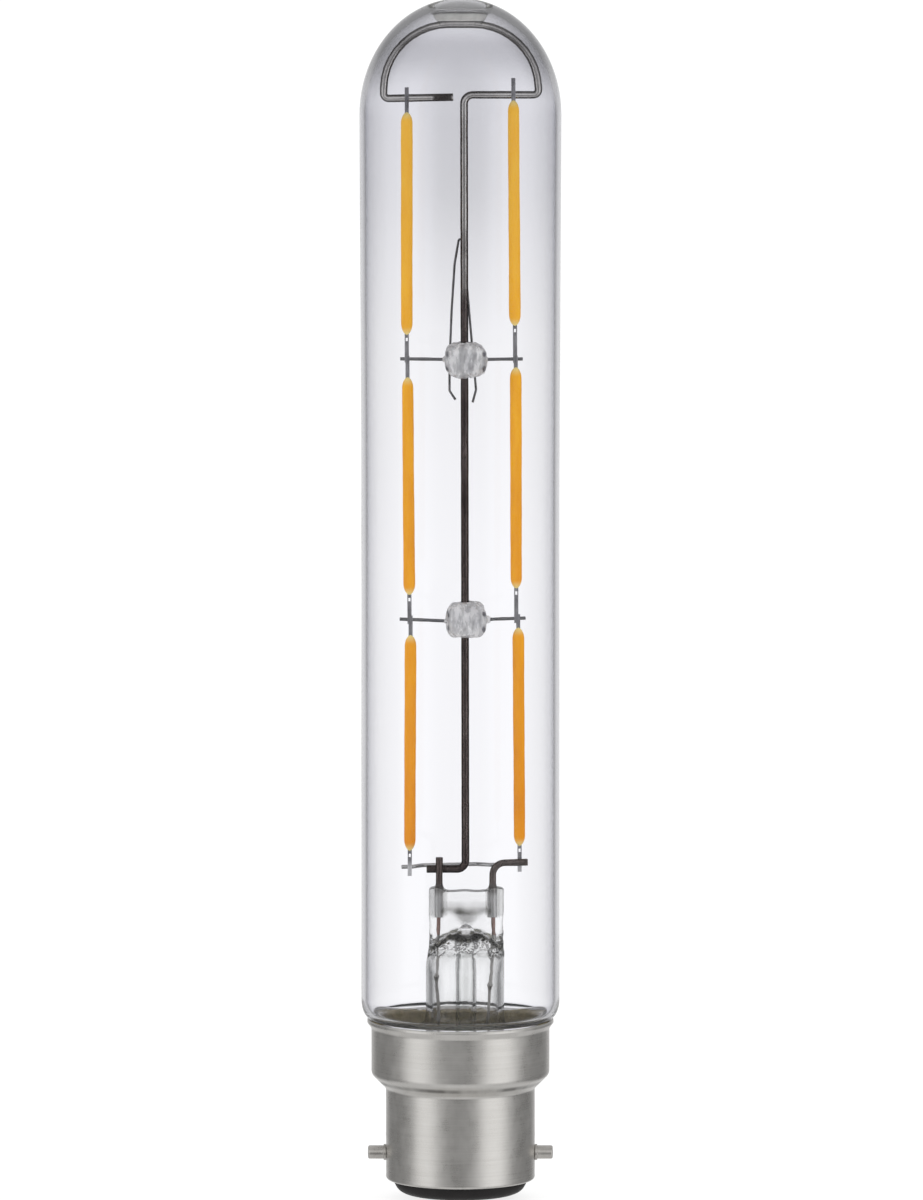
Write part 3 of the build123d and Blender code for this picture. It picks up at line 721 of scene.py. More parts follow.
# ------------------------------------------------------------------ cap
cap_outline = rounded(
    [(9.95, 3.0), (11.0, 3.0), (11.0, 16.6), (13.15, 18.75), (13.15, 25.55), (13.75, 26.40), (13.73, 26.84),
     (13.42, 26.84), (13.42, 26.62), (12.80, 25.70), (12.80, 18.895), (10.65, 16.745), (10.65, 3.35), (9.95, 3.35)],
    [0.06, 0.45, 0.8, 1.2, 0.8, 0.12, 0.14, 0.12, 0.1, 0.8, 0.85, 0.8, 0.1, 0.06], 9, closed=True)
cap_outline = finer(np.concatenate([cap_outline, cap_outline[:1]]), 0.45)[:-1]


def cap_radius(r, z, angle):
    """The barrel's two faint rolled rings, and the small unevenness of drawn sheet."""
    ring = 0.030 * math.exp(-((z - 10.75) / 0.20) ** 2) + 0.030 * math.exp(-((z - 9.75) / 0.20) ** 2)
    low = -0.02 * math.exp(-((z - 4.0) / 0.25) ** 2)
    uneven = 0.006 * np.sin(angle * 3 + z * 0.31) + 0.004 * np.sin(angle * 7 - z * 0.83)
    edge = 1.0 if 3.6 < z < 26.2 else 0.0
    return r + (ring + low + uneven - 0.012) * edge


v, f = lathe(cap_outline, 288, closed=True, radius=cap_radius)
put("bulb_cap_shell", v, f, NICKEL, ("bayonet_cap",), outward=True)

# ------------------------------------------------------------------ pins
for side, label in ((1, "right"), (-1, "left")):
    outline = rounded([(0, 10.15), (1.45, 10.15), (1.45, 10.48), (0.8, 10.48), (0.8, 10.99), (1.19, 11.005),
                       (1.19, 11.33), (0.995, 11.36), (0.985, 13.62), (0, 13.675)],
                      [0.06, 0.06, 0.02, 0.02, 0.06, 0.08, 0.05, 0.24], 6)
    outline[-1, 0] = outline[0, 0] = 0.0
    v, f = lathe(outline, 48)
    v = np.array(v)
    v = np.stack([side * v[:, 2], v[:, 1], 6.9 + v[:, 0]], 1)
    put("bulb_pin_" + label, v, f, PIN, ("bayonet_pin_" + label,), outward=True)

# ------------------------------------------------------------------ solder
for label, y, seed in (("front", -4.0, 5), ("back", 4.0, 9)):
    outline = np.array([(0, 0.0), (0.9, 0.0), (1.5, 0.004), (1.72, 0.03), (1.88, 0.10), (2.0, 0.2), (2.12, 0.38),
                        (2.2, 0.6), (2.24, 0.80), (2.20, 0.88), (1.2, 0.88), (0, 0.88)])
    rng = np.random.default_rng(seed)
    ph = rng.uniform(0, 6.28, 3)

    def uneven(r, z, angle, ph=ph):
        w = 1 + 0.025 * np.sin(2 * angle + ph[0]) + 0.018 * np.sin(3 * angle + ph[1]) + 0.010 * np.sin(7 * angle + ph[2])
        return r * np.minimum(w, 1.0 if r > 2.15 else 1.05)

    v, f = lathe(outline, 64, shift=(0.0, y), radius=uneven)
    v = np.array(v)
    d = np.hypot(v[:, 0], v[:, 1] - y)
    low = v[:, 2] < 0.5
    v[low, 2] += 0.03 * (1 + ripple(v[low, 0], v[low, 1], v[low, 2], seed, 1.3)) * np.clip(1 - d[low] / 1.2, 0, 1)
    v[:, 2] = np.maximum(v[:, 2], 0.0)
    put("bulb_solder_" + label, v, f, SOLDER, ("solder_" + label,), outward=True)

# ------------------------------------------------------------------ cement
outline = []
neck = tube_side(0.0, 0.0)
for z in np.linspace(19.7, 26.35, 20):
    r = float(np.interp(z, neck[:34, 1], neck[:34, 0]))
    outline.append((r + 0.01, z))
outline = outline + [(12.8, 26.42), (13.10, 26.38), (13.14, 26.22), (12.98, 25.98), (12.86, 25.8)] + [(12.79, z) for z in np.linspace(25.6, 19.7, 14)]
outline = finer(np.array(outline + outline[:1]), 0.18)[:-1]
v, f = lathe(outline, 240, closed=True)
v = np.array(v)
a = np.arctan2(v[:, 1], v[:, 0])
r = np.hypot(v[:, 0], v[:, 1])
top = np.clip((v[:, 2] - 26.0) / 0.3, 0, 1) * np.clip((13.1 - r) / 0.2, 0.0, 1) * np.clip((r - 12.32) / 0.15, 0, 1)
v[:, 2] += top * (0.10 * ripple(v[:, 0], v[:, 1], 0 * a, 31, 6.0) + 0.06 * ripple(v[:, 0], v[:, 1], 0 * a, 32, 1.6)
                  + 0.04 * ripple(v[:, 0], v[:, 1], 0 * a, 33, 0.6))
v[:, 2] = np.minimum(v[:, 2], 26.6)
put("bulb_cement_ring", v, f, CEMENT, ("basing_cement",), outward=True)

# ------------------------------------------------------------------ stem: flare, tube, press and exhaust tube fused in one
LX, RX, LY = -3.13, 4.76, -0.02
stem_cx = smooth_curve([16, 20.3, 21.3, 23.2, 25.6, 28.0, 33.9, 36.8, 39.0, 47], [0, 0, 0.15, 0.40, 0.60, 0.67, 0.67, 0.78, 0.86, 0.86])
stem_a = smooth_curve([16, 20.2, 20.6, 21.4, 23.2, 25.6, 28.0, 34.4, 36.0, 37.4, 38.8, 40.0, 43.0, 47],
                      [10.85, 10.85, 10.35, 9.15, 7.10, 6.05, 5.78, 5.78, 5.70, 5.52, 5.44, 5.44, 5.50, 5.55])
stem_b = smooth_curve([16, 20.2, 20.6, 21.4, 23.2, 25.6, 28.0, 34.4, 36.0, 37.4, 38.8, 40.0, 43.0, 47],
                      [10.85, 10.85, 10.35, 9.15, 7.10, 6.05, 5.78, 5.60, 4.70, 3.30, 2.25, 1.85, 1.80, 1.80])
stem_n = smooth_curve([16, 34.0, 37.4, 39.6, 41.0, 47], [2.0, 2.0, 2.3, 3.2, 4.2, 4.4])
bore_a = smooth_curve([16, 19.4, 20.7, 22.8, 25.4, 28.0, 34.0, 36.5, 38.4, 40.5], [10.2, 10.2, 8.55, 6.30, 5.20, 4.90, 4.90, 4.75, 4.35, 3.6])
bore_b = smooth_curve([16, 19.4, 20.7, 22.8, 25.4, 28.0, 34.0, 36.0, 37.6, 38.8, 40.5], [10.2, 10.2, 8.55, 6.30, 5.20, 4.90, 4.80, 3.75, 2.25, 1.25, 0.6])
exhaust_out = smooth_curve([15.9, 16.4, 16.8, 17.3, 18.0, 18.9, 30, 38.4, 40], [-0.4, 0.30, 0.80, 1.10, 1.35, 1.535, 1.535, 1.535, 1.50])
exhaust_in = smooth_curve([17.8, 18.2, 18.6, 19.3, 19.9, 30, 38.0, 39.4, 40.2, 40.7, 41.0, 43], [-0.4, 0.0, 0.5, 0.95, 1.08, 1.08, 1.08, 1.15, 1.0, 0.6, 0.0, -0.8])


def stem_field(x, y, z):
    cx, a, b, n = stem_cx(z), stem_a(z), stem_b(z), stem_n(z)
    u = x - cx
    press = np.clip((z - 39.5) / 2.0, 0, 1)
    pinch = 0.40 * press / (1 + np.exp((np.abs(u - 0.05) - 3.05) / 0.16))
    waist = np.clip((z - 36.0) / 0.9, 0, 1) * np.clip((41.0 - z) / 1.4, 0, 1)
    b = b - pinch
    out = (np.abs(u / a) ** n + np.abs(y / b) ** n) ** (1 / n) - 1
    out = out * np.minimum(a, b * 1.8)
    out = out + 0.018 * ripple(x, y, z, 41, 3.2) * np.clip((z - 30) / 6, 0.2, 1) + 0.05 * waist * ripple(x, y, z, 42, 1.5)
    brim = 45.95 + 0.50 / (1 + np.exp(-(np.abs(u) - 3.55) / 0.18)) + 0.05 * np.sin(x * 1.7 + 0.6)
    out = smax(out, (z - brim), 0.40)
    for lx in (LX, RX):
        d = np.hypot(x - lx, y - LY)
        cone = smax(d - (0.50 + 0.62 * np.exp(-np.maximum(z - 46.05, -0.1) / 0.30)), z - 47.0, 0.10)
        out = smin(out, smax(cone, 44.0 - z, 0.3), 0.20)
    out = smax(out, 19.42 - z, 0.2)
    ba, bb = bore_a(z), bore_b(z)
    hole = np.sqrt((u / ba) ** 2 + (y / bb) ** 2) - 1
    hole = hole * np.minimum(ba, bb * 1.6)
    ceiling = 39.75 - 1.75 * np.clip((x - 0.83) / 4.6, -1.3, 1.3) ** 2
    hole = smax(hole, z - ceiling, 0.35)
    fold = np.exp(-((z - 36.6) / 0.45) ** 2) * 0.16 + waist * 0.15 * ripple(x, y, z, 43, 1.9) + waist * 0.06 * ripple(x, y, z, 44, 0.8)
    hole = hole + fold
    out = smax(out, -hole, 0.12)
    ex = np.hypot(x - 0.83, y)
    out = smin(out, smax(ex - exhaust_out(z), z - 40.0, 0.2), 0.18)
    flat = 1 + 0.5 * np.clip((z - 38.8) / 2.0, 0, 1)
    inner_hole = np.hypot(x - 0.83, y * flat) - exhaust_in(z)
    out = smax(out, -inner_hole, 0.06)
    vent = (np.sqrt(((x - 0.83) / 1.22) ** 2 + ((z - 39.95) / 0.56) ** 2) - 1) * 0.6
    vent = smax(vent, y - 0.2, 0.1)
    out = smax(out, -vent, 0.14)
    return out


xs = steps((-11.15, 0.19), (-6.3, 0.16), (7.6, 0.19), 11.15)
ys = steps((-11.15, 0.19), (-6.3, 0.16), (6.3, 0.19), 11.15)
zs = steps((16.05, 0.25), (19.2, 0.16), (21.4, 0.30), (28.0, 0.55), (35.3, 0.145), 47.25)
v, f, n = iso_surface(stem_field, xs, ys, zs)
# painted shade: a dark line where the press closed on the bore, olive shade beneath it, and a darker band along the
# fold
arch = 39.72 - 1.72 * np.clip(np.abs(v[:, 0] - 0.95) / 4.6, 0, 1.25) ** 2.2
painted_dark = np.exp(-((v[:, 2] - arch + 0.10) / 0.36) ** 2) * (np.abs(v[:, 0] - 0.95) < 5.3)
painted_dark *= 1 - 0.8 * np.exp(-((v[:, 0] - 0.87) / 1.15) ** 4)
under = np.exp(-((v[:, 2] - 38.85) / 0.42) ** 2) * np.exp(-((v[:, 0] - 0.95) / 1.9) ** 4)
fold = np.exp(-((v[:, 2] - 36.7) / 0.22) ** 2) * 0.35
# painted shade where the glass's relief and the magnified leads darken what is seen through the press: a band across, a
# funnel down to the vent, and the glass round the two leads
mid = np.clip((3.85 - np.abs(v[:, 0] - 0.86)) / 0.3, 0, 1)
band = np.exp(-((v[:, 2] - 43.0) / 0.42) ** 2) * 0.40 * mid
upper_press_shade = np.clip((44.5 - v[:, 2]) / 0.4, 0, 1) * np.clip((v[:, 2] - 42.9) / 0.4, 0, 1) * 0.15 * mid
cone = np.exp(-((v[:, 0] - 0.90) / (0.75 + 0.85 * np.clip(v[:, 2] - 40.9, 0, 3))) ** 4) * np.clip((43.0 - v[:, 2]) / 0.3, 0, 1) * np.clip((v[:, 2] - 40.6) / 0.3, 0, 1) * 0.42
column = np.zeros(len(v))
for lx, w in ((LX - 0.20, 1.05), (RX + 0.15, 0.95)):
    column += np.exp(-((v[:, 0] - lx) / w) ** 6) * 0.42
column *= np.clip((v[:, 2] - 42.0) / 0.25, 0, 1) * np.clip((46.6 - v[:, 2]) / 0.3, 0, 1)
press_shade = (band + upper_press_shade + cone) * (1 + 0.20 * ripple(v[:, 0], v[:, 1], v[:, 2], 62, 1.6)) + column
shade = np.clip((painted_dark * 1.5 + under * 0.95 + fold) * (1 + 0.30 * ripple(v[:, 0], v[:, 1], v[:, 2], 61, 1.1)) + press_shade, 0, 0.97)
shade *= np.clip((7.0 - np.hypot(v[:, 0] - 0.95, v[:, 1])) / 0.5, 0, 1)
put("bulb_stem_glass", v, f, STEM, ("flare_tube", "exhaust_tube"), normals=n, attribute=shade)


# ------------------------------------------------------------------ wires
def wire(name, points, bends, radius, material, node, step=0.9, segs=20, chamfer=0.07, seed=1, uneven=0.02, first=(0, 1, 0)):
    path = finer(rounded(points, bends, 10), step)
    r = radius if callable(radius) else wobbly(radius, seed, uneven)
    v, f = sweep(path, r, segs, chamfer, first)
    return put(name, v, f, material, (node,), outward=True)


ROD_Y = 1.055
path = finer(rounded([
    (-5.0, ROD_Y, 49.0), (0.75, ROD_Y, 49.0), (0.53, ROD_Y, 163.4), (11.5, ROD_Y, 163.4), (11.15, ROD_Y, 173.9),
    (-11.15, ROD_Y, 173.9), (-11.3, ROD_Y, 162.85), (-1.05, ROD_Y, 163.05)],
    [1.25, 1.3, 0.75, 9.6, 9.6, 0.75], 10), 0.8)
v, f = sweep(path, wobbly(0.575, 3, 0.012), 32, 0.10)
v = np.array(v)
# painted light and shade: the rod's sides as seen from the front are darkened and its front and back kept light, with a
# darker patch on the lower left arm and the outer parts of the top bar a little darker
lit_front_mask = np.abs(v[:, 1] - ROD_Y) / 0.575 * (1 - 0.9 * np.exp(-((v[:, 0] + 2.6) / 0.85) ** 4) * (v[:, 2] > 162) * (v[:, 2] < 164))
lit_front_mask *= 1 - 0.10 * np.clip((v[:, 2] - 169.5) / 1.5, 0, 1) * np.clip((np.abs(v[:, 0]) - 3.6) / 0.8, 0, 1)
put("bulb_support_rod", v, f, ROD, ("support_rod",), outward=True, attribute=lit_front_mask)


def flattened(r, wide, thin, length, at_end=True, seed=2):
    """A wire whose end was squeezed flat for the weld."""
    base = wobbly(r, seed)

    def at(s, total):
        a, b = base(s, total)
        d = (total - s) if at_end else s
        t = min(1.0, max(0.0, (d - length) / (r * 2.2)))
        t = t * t * (3 - 2 * t)
        return thin + (a - thin) * t, wide + (b - wide) * t

    return at


wire("bulb_lead_left", [(LX, LY, 42.03), (LX, LY, 46.5), (LX + 0.02, LY, 50.88)], [3.0],
     flattened(0.50, 0.53, 0.46, 0.7), LEAD, "inner_lead_left", 0.6, 24, 0.09)
wire("bulb_lead_right", [(RX, LY, 42.03), (RX, LY, 50.02), (9.93, LY, 50.16)], [1.8],
     flattened(0.50, 0.52, 0.44, 1.9), LEAD, "inner_lead_right", 0.6, 24, 0.09)
for label, x in (("left", LX), ("right", RX)):
    wire("bulb_dumet_" + label, [(x, LY, 39.3), (x, LY, 40.6), (x, LY, 42.03)], [1.0], 0.25, COPPER,
         "dumet_" + label, 0.4, 18, 0.03, 6)


def knotted(r, knot, along_at):
    def at(s, total):
        k = knot * math.exp(-((s - along_at) / 0.30) ** 2) + 0.35 * knot * math.exp(-((s - along_at - 0.45) / 0.35) ** 2)
        w = r * (1 + 0.03 * math.sin(s * 2.1)) + k
        return w, w

    return at


wire("bulb_outer_lead_left", [(LX, LY, 39.3), (LX, LY, 36.4), (-3.66, LY, 33.2), (-3.20, LY, 28.0), (-3.55, LY, 19.0),
     (-3.50, LY, 11.1)], 0.9, knotted(0.225, 0.21, 6.15), TINNED, "outer_lead_left", 0.25, 16, 0.03)
wire("bulb_outer_lead_right", [(RX, LY, 39.3), (RX, LY, 35.6), (4.36, LY, 31.9), (4.10, LY, 26.0), (4.35, LY, 18.0),
     (4.30, LY, 11.1)], 0.9, knotted(0.225, 0.19, 7.4), TINNED, "outer_lead_right", 0.25, 16, 0.03)

CY = 0.73
for label, p, q, seed in (("upper_left", (-8.86, CY, 124.58), (-0.55, CY, 124.45), 11),
                          ("upper_right", (2.10, CY, 124.45), (9.18, CY, 124.56), 12),
                          ("lower_left", (-8.96, CY, 86.13), (-0.55, CY, 85.78), 13),
                          ("lower_right", (2.10, CY, 86.00), (9.62, CY, 86.28), 14)):
    mid = (np.array(p) + np.array(q)) / 2 + (0, 0, 0.02)
    wire("bulb_cross_wire_" + label, [p, mid, q], [20.0], 0.25, BRIGHT, "cross_wire_" + label, 0.35, 18,
         0.05, seed, 0.035)

HY = 1.90
wire("bulb_hairpin", [
    (-0.72, HY, 118.45), (-1.60, HY, 119.75), (-1.60, HY, 124.0), (-1.30, HY, 131.5), (-0.85, HY, 138.5),
    (-0.20, HY, 142.3), (0.35, HY, 141.9), (0.95, HY, 135.4), (1.50, HY, 129.0), (2.12, HY, 122.0),
    (2.30, HY, 119.9), (1.80, HY, 118.05)],
    [0.6, 3.0, 6.0, 6.0, 0.30, 0.30, 6.0, 6.0, 3.0, 0.6], 0.175, BRIGHT, "hairpin_wire", 0.5, 14, 0.03, 8)

jy = 0.405 + 0.075 + 0.30


def on_jumper(x, y):
    return (x, y, 49.35 + 0.0235 * (x + 8.71))


wire("bulb_jumper", [on_jumper(-8.71, jy), on_jumper(-6.95, jy), on_jumper(-5.65, 2.0), on_jumper(2.40, 2.0),
     on_jumper(4.35, 0.78), on_jumper(5.75, 0.78)], 0.7, 0.30, JUMPER, "jumper_wire", 0.4, 20, 0.05, 9)


# ------------------------------------------------------------------ beads
def bead(name, node, centre, half, seed, box_n, drips, bubbles):
    rng = np.random.default_rng(seed)
    c = np.array(centre)
    seeds = []
    while len(seeds) < bubbles:
        p = rng.uniform(-0.85, 0.85, 3)
        r = rng.uniform(0.10, 0.30)
        if np.linalg.norm(p) < 0.80 and abs(p[0] * half[0]) > 0.5 * rng.uniform(0, 1):
            seeds.append((c + p * np.array(half), r))

    def field(x, y, z):
        u, v, w = (x - c[0]) / half[0], (y - c[1]) / half[1], (z - c[2]) / half[2]
        d = ((np.abs(u) ** box_n + np.abs(v) ** box_n + np.abs(w) ** box_n) ** (1 / box_n) - 1) * min(half)
        d = d + 0.085 * ripple(x, y, z * 0.6, seed, 2.4) + 0.030 * ripple(x, y, z * 0.5, seed + 1, 0.9)
        for (px, py, pz), r in drips:
            e = np.sqrt((x - px) ** 2 + (y - py) ** 2 + (z - pz) ** 2) - r
            d = smin(d, e, 0.35)
        for (px, py, pz), r in seeds:
            e = np.sqrt((x - px) ** 2 + (y - py) ** 2 + ((z - pz) * 0.7) ** 2) - r
            d = np.maximum(d, -e)
        return d + 0.05

    lo, hi = c - np.array(half) * 1.12 - 0.1, c + np.array(half) * 1.12 + 0.1
    for (p, r) in drips:
        lo, hi = np.minimum(lo, np.array(p) - r - 0.1), np.maximum(hi, np.array(p) + r + 0.1)
    g = [np.arange(lo[k], hi[k] + 0.085, 0.085) for k in range(3)]
    v, f, n = iso_surface(field, *g)
    # painted shade: dark patches at the bead's sides, above and below the cross wires
    side = np.exp(-((np.abs(v[:, 0] - c[0]) - 0.875 * half[0]) / 0.24) ** 2)
    dz = v[:, 2] - c[2]
    side_patch_shade = side * (np.exp(-((dz - 0.95) / 0.38) ** 2) + np.exp(-((dz + 1.25) / 0.50) ** 2))
    side_patch_shade = np.clip(side_patch_shade * (1.25 + 0.5 * ripple(v[:, 0], v[:, 1], v[:, 2], seed + 5, 1.2)), 0, 0.92)
    return put(name, v, f, BEAD, (node,), normals=n, attribute=side_patch_shade)


bead("bulb_bead_upper", "bead_upper", (0.77, ROD_Y, 124.43), (3.12, 2.52, 2.52), 71, 3.3,
     [((-2.35, CY, 124.5), 0.42), ((3.75, CY, 124.47), 0.40)], 16)
bead("bulb_bead_lower", "bead_lower", (0.83, ROD_Y, 86.0), (3.02, 2.66, 2.66), 83, 3.2,
     [((4.00, ROD_Y - 0.15, 86.06), 0.62), ((-2.15, CY, 85.85), 0.42)], 16)

# ------------------------------------------------------------------ filaments
FILAMENTS = {
    "upper_left": (-7.86, 160.90, -7.88, 128.13, 164.56, 124.10, 0.405, 0.0),
    "upper_right": (7.77, 162.66, 8.01, 129.45, 165.94, 124.00, 0.405, 0.0),
    "middle_left": (-7.76, 121.94, -7.51, 89.75, 125.10, 85.45, 0.245, 0.0),
    "middle_right": (8.13, 123.41, 8.22, 90.71, 125.10, 85.60, 0.245, 0.0),
    "lower_left": (-7.34, 83.83, -7.47, 51.78, 86.70, 48.06, 0.405, 0.0),
    "lower_right": (8.52, 84.94, 8.73, 52.52, 86.90, 48.65, 0.405, 0.15),
}


def tab_strip(start, end, thick, wide, hole, seed):
    """A rolled strip from start to end, with one punched hole at the given distance from start."""
    rng = np.random.default_rng(seed)
    start, end = np.array(start, float), np.array(end, float)
    axis = unit(end - start)
    across = unit(np.cross((0, 1, 0), axis))
    length = float(np.linalg.norm(end - start))
    cuts = [0.0, 0.05]
    if hole:
        cuts += [hole[0], hole[1]]
    cuts += [length - 0.05, length]
    rows = sorted(set(cuts) | set(np.arange(0.3, length - 0.1, 0.3).round(3)))
    rows = [r for i, r in enumerate(rows) if i == 0 or r - rows[i - 1] > 0.02]
    cols = [-wide / 2, -wide * 0.24, wide * 0.24, wide / 2]
    wave = rng.uniform(0, 6.28)
    bm = bmesh.new()
    grid = []
    for s in rows:
        y = 0.012 * math.sin(s * 1.9 + wave)
        grid.append([bm.verts.new(tuple((start + axis * s + across * c + np.array((0, y, 0))) * MM)) for c in cols])
    for i in range(len(rows) - 1):
        for j in range(3):
            if hole and j == 1 and rows[i] >= hole[0] - 1e-6 and rows[i + 1] <= hole[1] + 1e-6:
                continue
            bm.faces.new((grid[i][j], grid[i][j + 1], grid[i + 1][j + 1], grid[i + 1][j]))
    return bm


def strip_piece(name, strips, thick, material, node):
    """Tab strips as one piece, given thickness and eased edges."""
    bm = bmesh.new()
    for part in strips:
        mesh = bpy.data.meshes.new("part")
        part.to_mesh(mesh)
        bm.from_mesh(mesh)
        part.free()
        bpy.data.meshes.remove(mesh)
    bmesh.ops.recalc_face_normals(bm, faces=bm.faces)
    mesh = bpy.data.meshes.new(name)
    bm.to_mesh(mesh)
    bm.free()
    obj = bpy.data.objects.new(name, mesh)
    scene.collection.objects.link(obj)
    s = obj.modifiers.new("thick", "SOLIDIFY")
    s.thickness, s.offset = thick * MM, 0.0
    b = obj.modifiers.new("ease", "BEVEL")
    b.width, b.segments, b.limit_method, b.angle_limit = 0.028 * MM, 2, "ANGLE", math.radians(40)
    final = bpy.data.meshes.new_from_object(obj.evaluated_get(bpy.context.evaluated_depsgraph_get()))
    obj.modifiers.clear()
    obj.data = final
    obj.data.polygons.foreach_set("use_smooth", np.ones(len(final.polygons), bool))
    obj.data.set_sharp_from_angle(angle=math.radians(35))
    obj.data.materials.clear()
    obj.data.materials.append(material)
    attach(obj, "root")
    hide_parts(node)
    return obj


for k, (label, (xt, zt, xb, zb, tab_top, tab_foot, fy, foot_step)) in enumerate(FILAMENTS.items()):
    foot, head = np.array((xb, fy, zb)), np.array((xt, fy, zt))
    length = float(np.linalg.norm(head - foot))
    lean = unit(head - foot)
    # the coat
    segs = 36
    ends = 1.75
    t = np.concatenate([np.array([0.0, 0.004, 0.02, 0.05, 0.1, 0.17, 0.25, 0.34, 0.44, 0.56, 0.68, 0.8, 0.92, 1.0]) * ends,
                        np.linspace(ends, length - ends, 76)[1:-1],
                        length - np.array([0.0, 0.004, 0.02, 0.05, 0.1, 0.17, 0.25, 0.34, 0.44, 0.56, 0.68, 0.8, 0.92, 1.0])[::-1] * ends])
    rng = np.random.default_rng(100 + k)
    ph = rng.uniform(0, 6.28, 6)
    verts, rows, shade = [], [], []
    side = unit(np.cross(lean, (0, 1, 0)))
    angle = np.arange(segs) * 2 * math.pi / segs
    for s in t:
        d = min(s, length - s)
        if d < 1e-9:
            rows.append([len(verts)])
            verts.append(foot + lean * s)
            shade.append(1.0)
            continue
        q = min(1.0, d / ends)
        r = 0.87 * (1 - (1 - q) ** 2.15) ** 0.62
        r *= 1 + 0.012 * math.sin(s * 0.55 + ph[0]) + 0.008 * math.sin(s * 1.7 + ph[1]) - 0.02
        ring = r * (1 + 0.015 * np.sin(2 * angle + ph[2] + s * 0.12) + 0.008 * np.sin(3 * angle + ph[3] - s * 0.3))
        rows.append(list(range(len(verts), len(verts) + segs)))
        verts.extend(foot + lean * s + ring[:, None] * (np.cos(angle)[:, None] * np.array((0, -1.0, 0)) + np.sin(angle)[:, None] * side))
        shade.extend([max(0.0, 1 - d / 1.25) ** 1.2] * segs)
    faces = []
    for low, high in zip(rows[:-1], rows[1:]):
        for j in range(segs):
            m = (j + 1) % segs
            if len(low) == 1:
                faces.append((low[0], high[m], high[j]))
            elif len(high) == 1:
                faces.append((low[j], low[m], high[0]))
            else:
                faces.append((low[j], low[m], high[m], high[j]))
    coat = put("bulb_filament_" + label, verts, faces, PHOSPHOR, ("coat_" + label,), outward=True, attribute=shade)
    # painted light: 'along' runs from each coat's foot to its head, and starts higher for the upper pair, so they are
    # painted lighter
    layer = coat.data.attributes.new("along", "FLOAT", "POINT")
    low, gain = {"upper": (1.2, 0.8), "middle": (0.3, 0.6), "lower": (-0.1, 0.55)}[label.split("_")[0]]
    layer.data.foreach_set("value", (low + gain * (np.array(verts)[:, 2] - zb) / (zt - zb)).astype(np.float32))
    # the two tabs
    cos = lean[2]
    top_end = head + lean * ((tab_top - zt) / cos)
    foot_end = foot - lean * ((zb - tab_foot) / cos) + np.array((0, foot_step, 0))
    up = tab_strip(head - lean * 1.1, top_end, 0.15, 0.60, None, 200 + k)
    down = tab_strip(foot + lean * 1.1 + np.array((0, foot_step, 0)), foot_end, 0.15, 0.62, (1.1 + 0.42, 1.1 + 0.92), 300 + k)
    strip_piece("bulb_tabs_" + label, (up, down), 0.15, TAB, "tabs_" + label)

# ------------------------------------------------------------------ light
world = bpy.data.worlds.new("studio")
scene.world = world
world.use_nodes = True
world.cycles.sampling_method = "NONE"
wt = world.node_tree
wt.nodes.clear()


def wnode(kind, **inputs):
    node = wt.nodes.new(kind)
    for key, value in inputs.items():
        node.inputs[int(key[1:])].default_value = value
    return node


def wmath(op, a, b=0.0, c=None):
    node = wt.nodes.new("ShaderNodeMath")
    node.operation = op
    for socket, value in zip(node.inputs, (a, b, c)):
        if value is None:
            continue
        if isinstance(value, (int, float)):
            socket.default_value = value
        else:
            wt.links.new(value, socket)
    return node.outputs[0]


def wramp(fac, stops):
    node = wt.nodes.new("ShaderNodeValToRGB")
    while len(node.color_ramp.elements) < len(stops):
        node.color_ramp.elements.new(1.0)
    for e, (pos, level) in zip(node.color_ramp.elements, stops):
        e.position = pos
        e.color = (level, level, level, 1.0) if isinstance(level, float) else (*level, 1.0)
    wt.links.new(fac, node.inputs["Fac"])
    return node.outputs["Color"]


def wmix(fac, a, b):
    node = wt.nodes.new("ShaderNodeMix")
    node.data_type = "RGBA"
    ins = {s.identifier: s for s in node.inputs}
    for key, value in (("Factor_Float", fac), ("A_Color", a), ("B_Color", b)):
        s = ins[key]
        if isinstance(value, (int, float)):
            s.default_value = value if key == "Factor_Float" else (value, value, value, 1.0)
        elif isinstance(value, tuple):
            s.default_value = (*value, 1.0)
        else:
            wt.links.new(value, s)
    return [o for o in node.outputs if o.identifier == "Result_Color"][0]


direction = wt.nodes.new("ShaderNodeTexCoord").outputs["Generated"]
sep = wt.nodes.new("ShaderNodeSeparateXYZ")
wt.links.new(direction, sep.inputs[0])
turn = wmath("ARCTAN2", sep.outputs[0], wmath("MULTIPLY", sep.outputs[1], -1.0))
turn = wmath("MULTIPLY_ADD", turn, 1 / (2 * math.pi), 0.5)


def at(deg):
    return deg / 360.0 + 0.5


panels = wramp(turn, [
    (at(-180), 1.0), (at(-172), 0.95), (at(-165), 0.80), (at(-151), 0.60), (at(-146), 0.26), (at(-98), 0.22),
    (at(-80), 0.36), (at(-69), 1.10), (at(-45), 1.10), (at(-30), 0.36), (at(-10), 0.24), (at(10), 0.24),
    (at(24), 0.33), (at(38), 1.15), (at(68), 1.15), (at(80), 0.48), (at(92), 0.26), (at(110), 0.22),
    (at(146), 0.26), (at(151), 0.60), (at(165), 0.80), (at(172), 0.95), (at(180), 1.0)])
height = sep.outputs[2]
under = wmath("SMOOTH_MIN", 1.0, wmath("MAXIMUM", wmath("MULTIPLY", wmath("ADD", height, 0.45), -4.0), 0.0), 0.1)
level = wmath("MULTIPLY_ADD", height, 0.5, 0.5)
rise = wmath("MINIMUM", wmath("MAXIMUM", wmath("MULTIPLY", wmath("ADD", height, 0.06), 8.0), 0.0), 1.0)
away = wmath("ABSOLUTE", wmath("SUBTRACT", turn, 0.5))
behind = wmath("MINIMUM", wmath("MAXIMUM", wmath("MULTIPLY", wmath("SUBTRACT", away, 0.25), 20.0), 0.0), 1.0)


def up(h):
    return h * 0.5 + 0.5


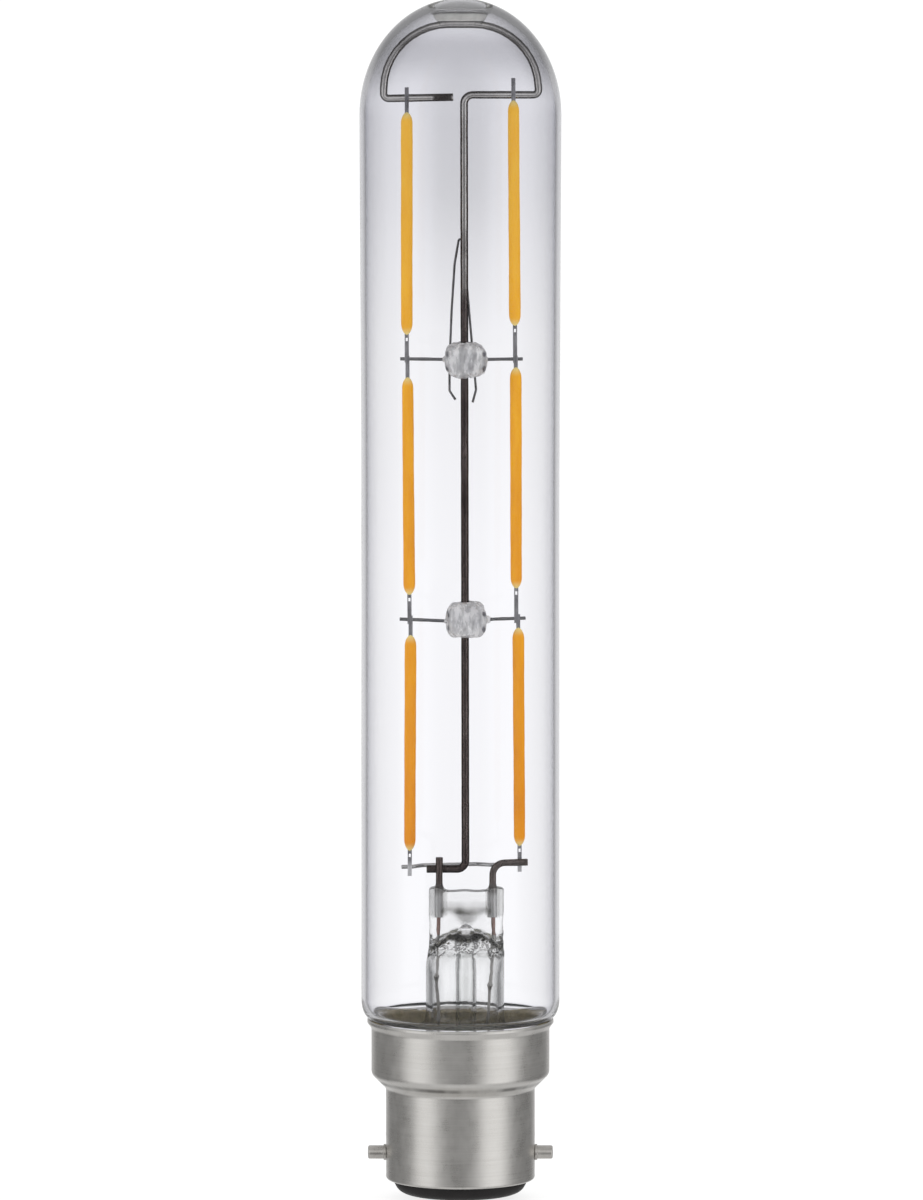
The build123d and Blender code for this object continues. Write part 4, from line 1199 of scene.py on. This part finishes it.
over_front = wramp(level, [(up(0.10), 0.80), (up(0.50), 0.80), (up(0.66), 0.50), (up(0.80), 0.50), (up(0.92), 0.62)])
over_back = wramp(level, [(up(0.10), 0.60), (up(0.25), 0.36), (up(0.60), 0.36), (up(0.82), 0.78)])
mirror = wmix(under, panels, 0.66)
mirror = wmix(rise, mirror, wmix(behind, over_front, over_back))
path = wt.nodes.new("ShaderNodeLightPath")
was_glossy = wmath("GREATER_THAN", path.outputs["Glossy Depth"], 0.5)
was_diffuse = wmath("GREATER_THAN", path.outputs["Diffuse Depth"], 0.5)
light = wmix(was_diffuse, 1.0, 1.08)
light = wmix(was_glossy, light, mirror)
background = wt.nodes.new("ShaderNodeBackground")
wt.links.new(light, background.inputs["Color"])
world_out = wt.nodes.new("ShaderNodeOutputWorld")
wt.links.new(background.outputs[0], world_out.inputs["Surface"])

# ------------------------------------------------------------------ floor
bm = bmesh.new()
bmesh.ops.create_grid(bm, x_segments=8, y_segments=8, size=3.5)
mesh = bpy.data.meshes.new("floor")
bm.to_mesh(mesh)
bm.free()
floor = bpy.data.objects.new("floor", mesh)
floor.location = (0, 2.2, 0)
scene.collection.objects.link(floor)
fm = bpy.data.materials.new("floor_paper")
fm.use_nodes = True
ft = fm.node_tree
ft.nodes.clear()
fo = ft.nodes.new("ShaderNodeOutputMaterial")
fd = ft.nodes.new("ShaderNodeBsdfDiffuse")
fe = ft.nodes.new("ShaderNodeEmission")
add = ft.nodes.new("ShaderNodeAddShader")
back = ft.nodes.new("ShaderNodeMixShader")
clear = ft.nodes.new("ShaderNodeBsdfTransparent")
geo = ft.nodes.new("ShaderNodeNewGeometry")
fd.inputs["Color"].default_value = (0.26, 0.26, 0.26, 1)
fe.inputs["Color"].default_value = (1, 1, 1, 1)
fe.inputs["Strength"].default_value = 0.80
ft.links.new(fd.outputs[0], add.inputs[0])
ft.links.new(fe.outputs[0], add.inputs[1])
ft.links.new(geo.outputs["Backfacing"], back.inputs[0])
ft.links.new(add.outputs[0], back.inputs[1])
ft.links.new(clear.outputs[0], back.inputs[2])
ft.links.new(back.outputs[0], fo.inputs["Surface"])
mesh.materials.append(fm)
floor.visible_glossy = False
floor.visible_transmission = False
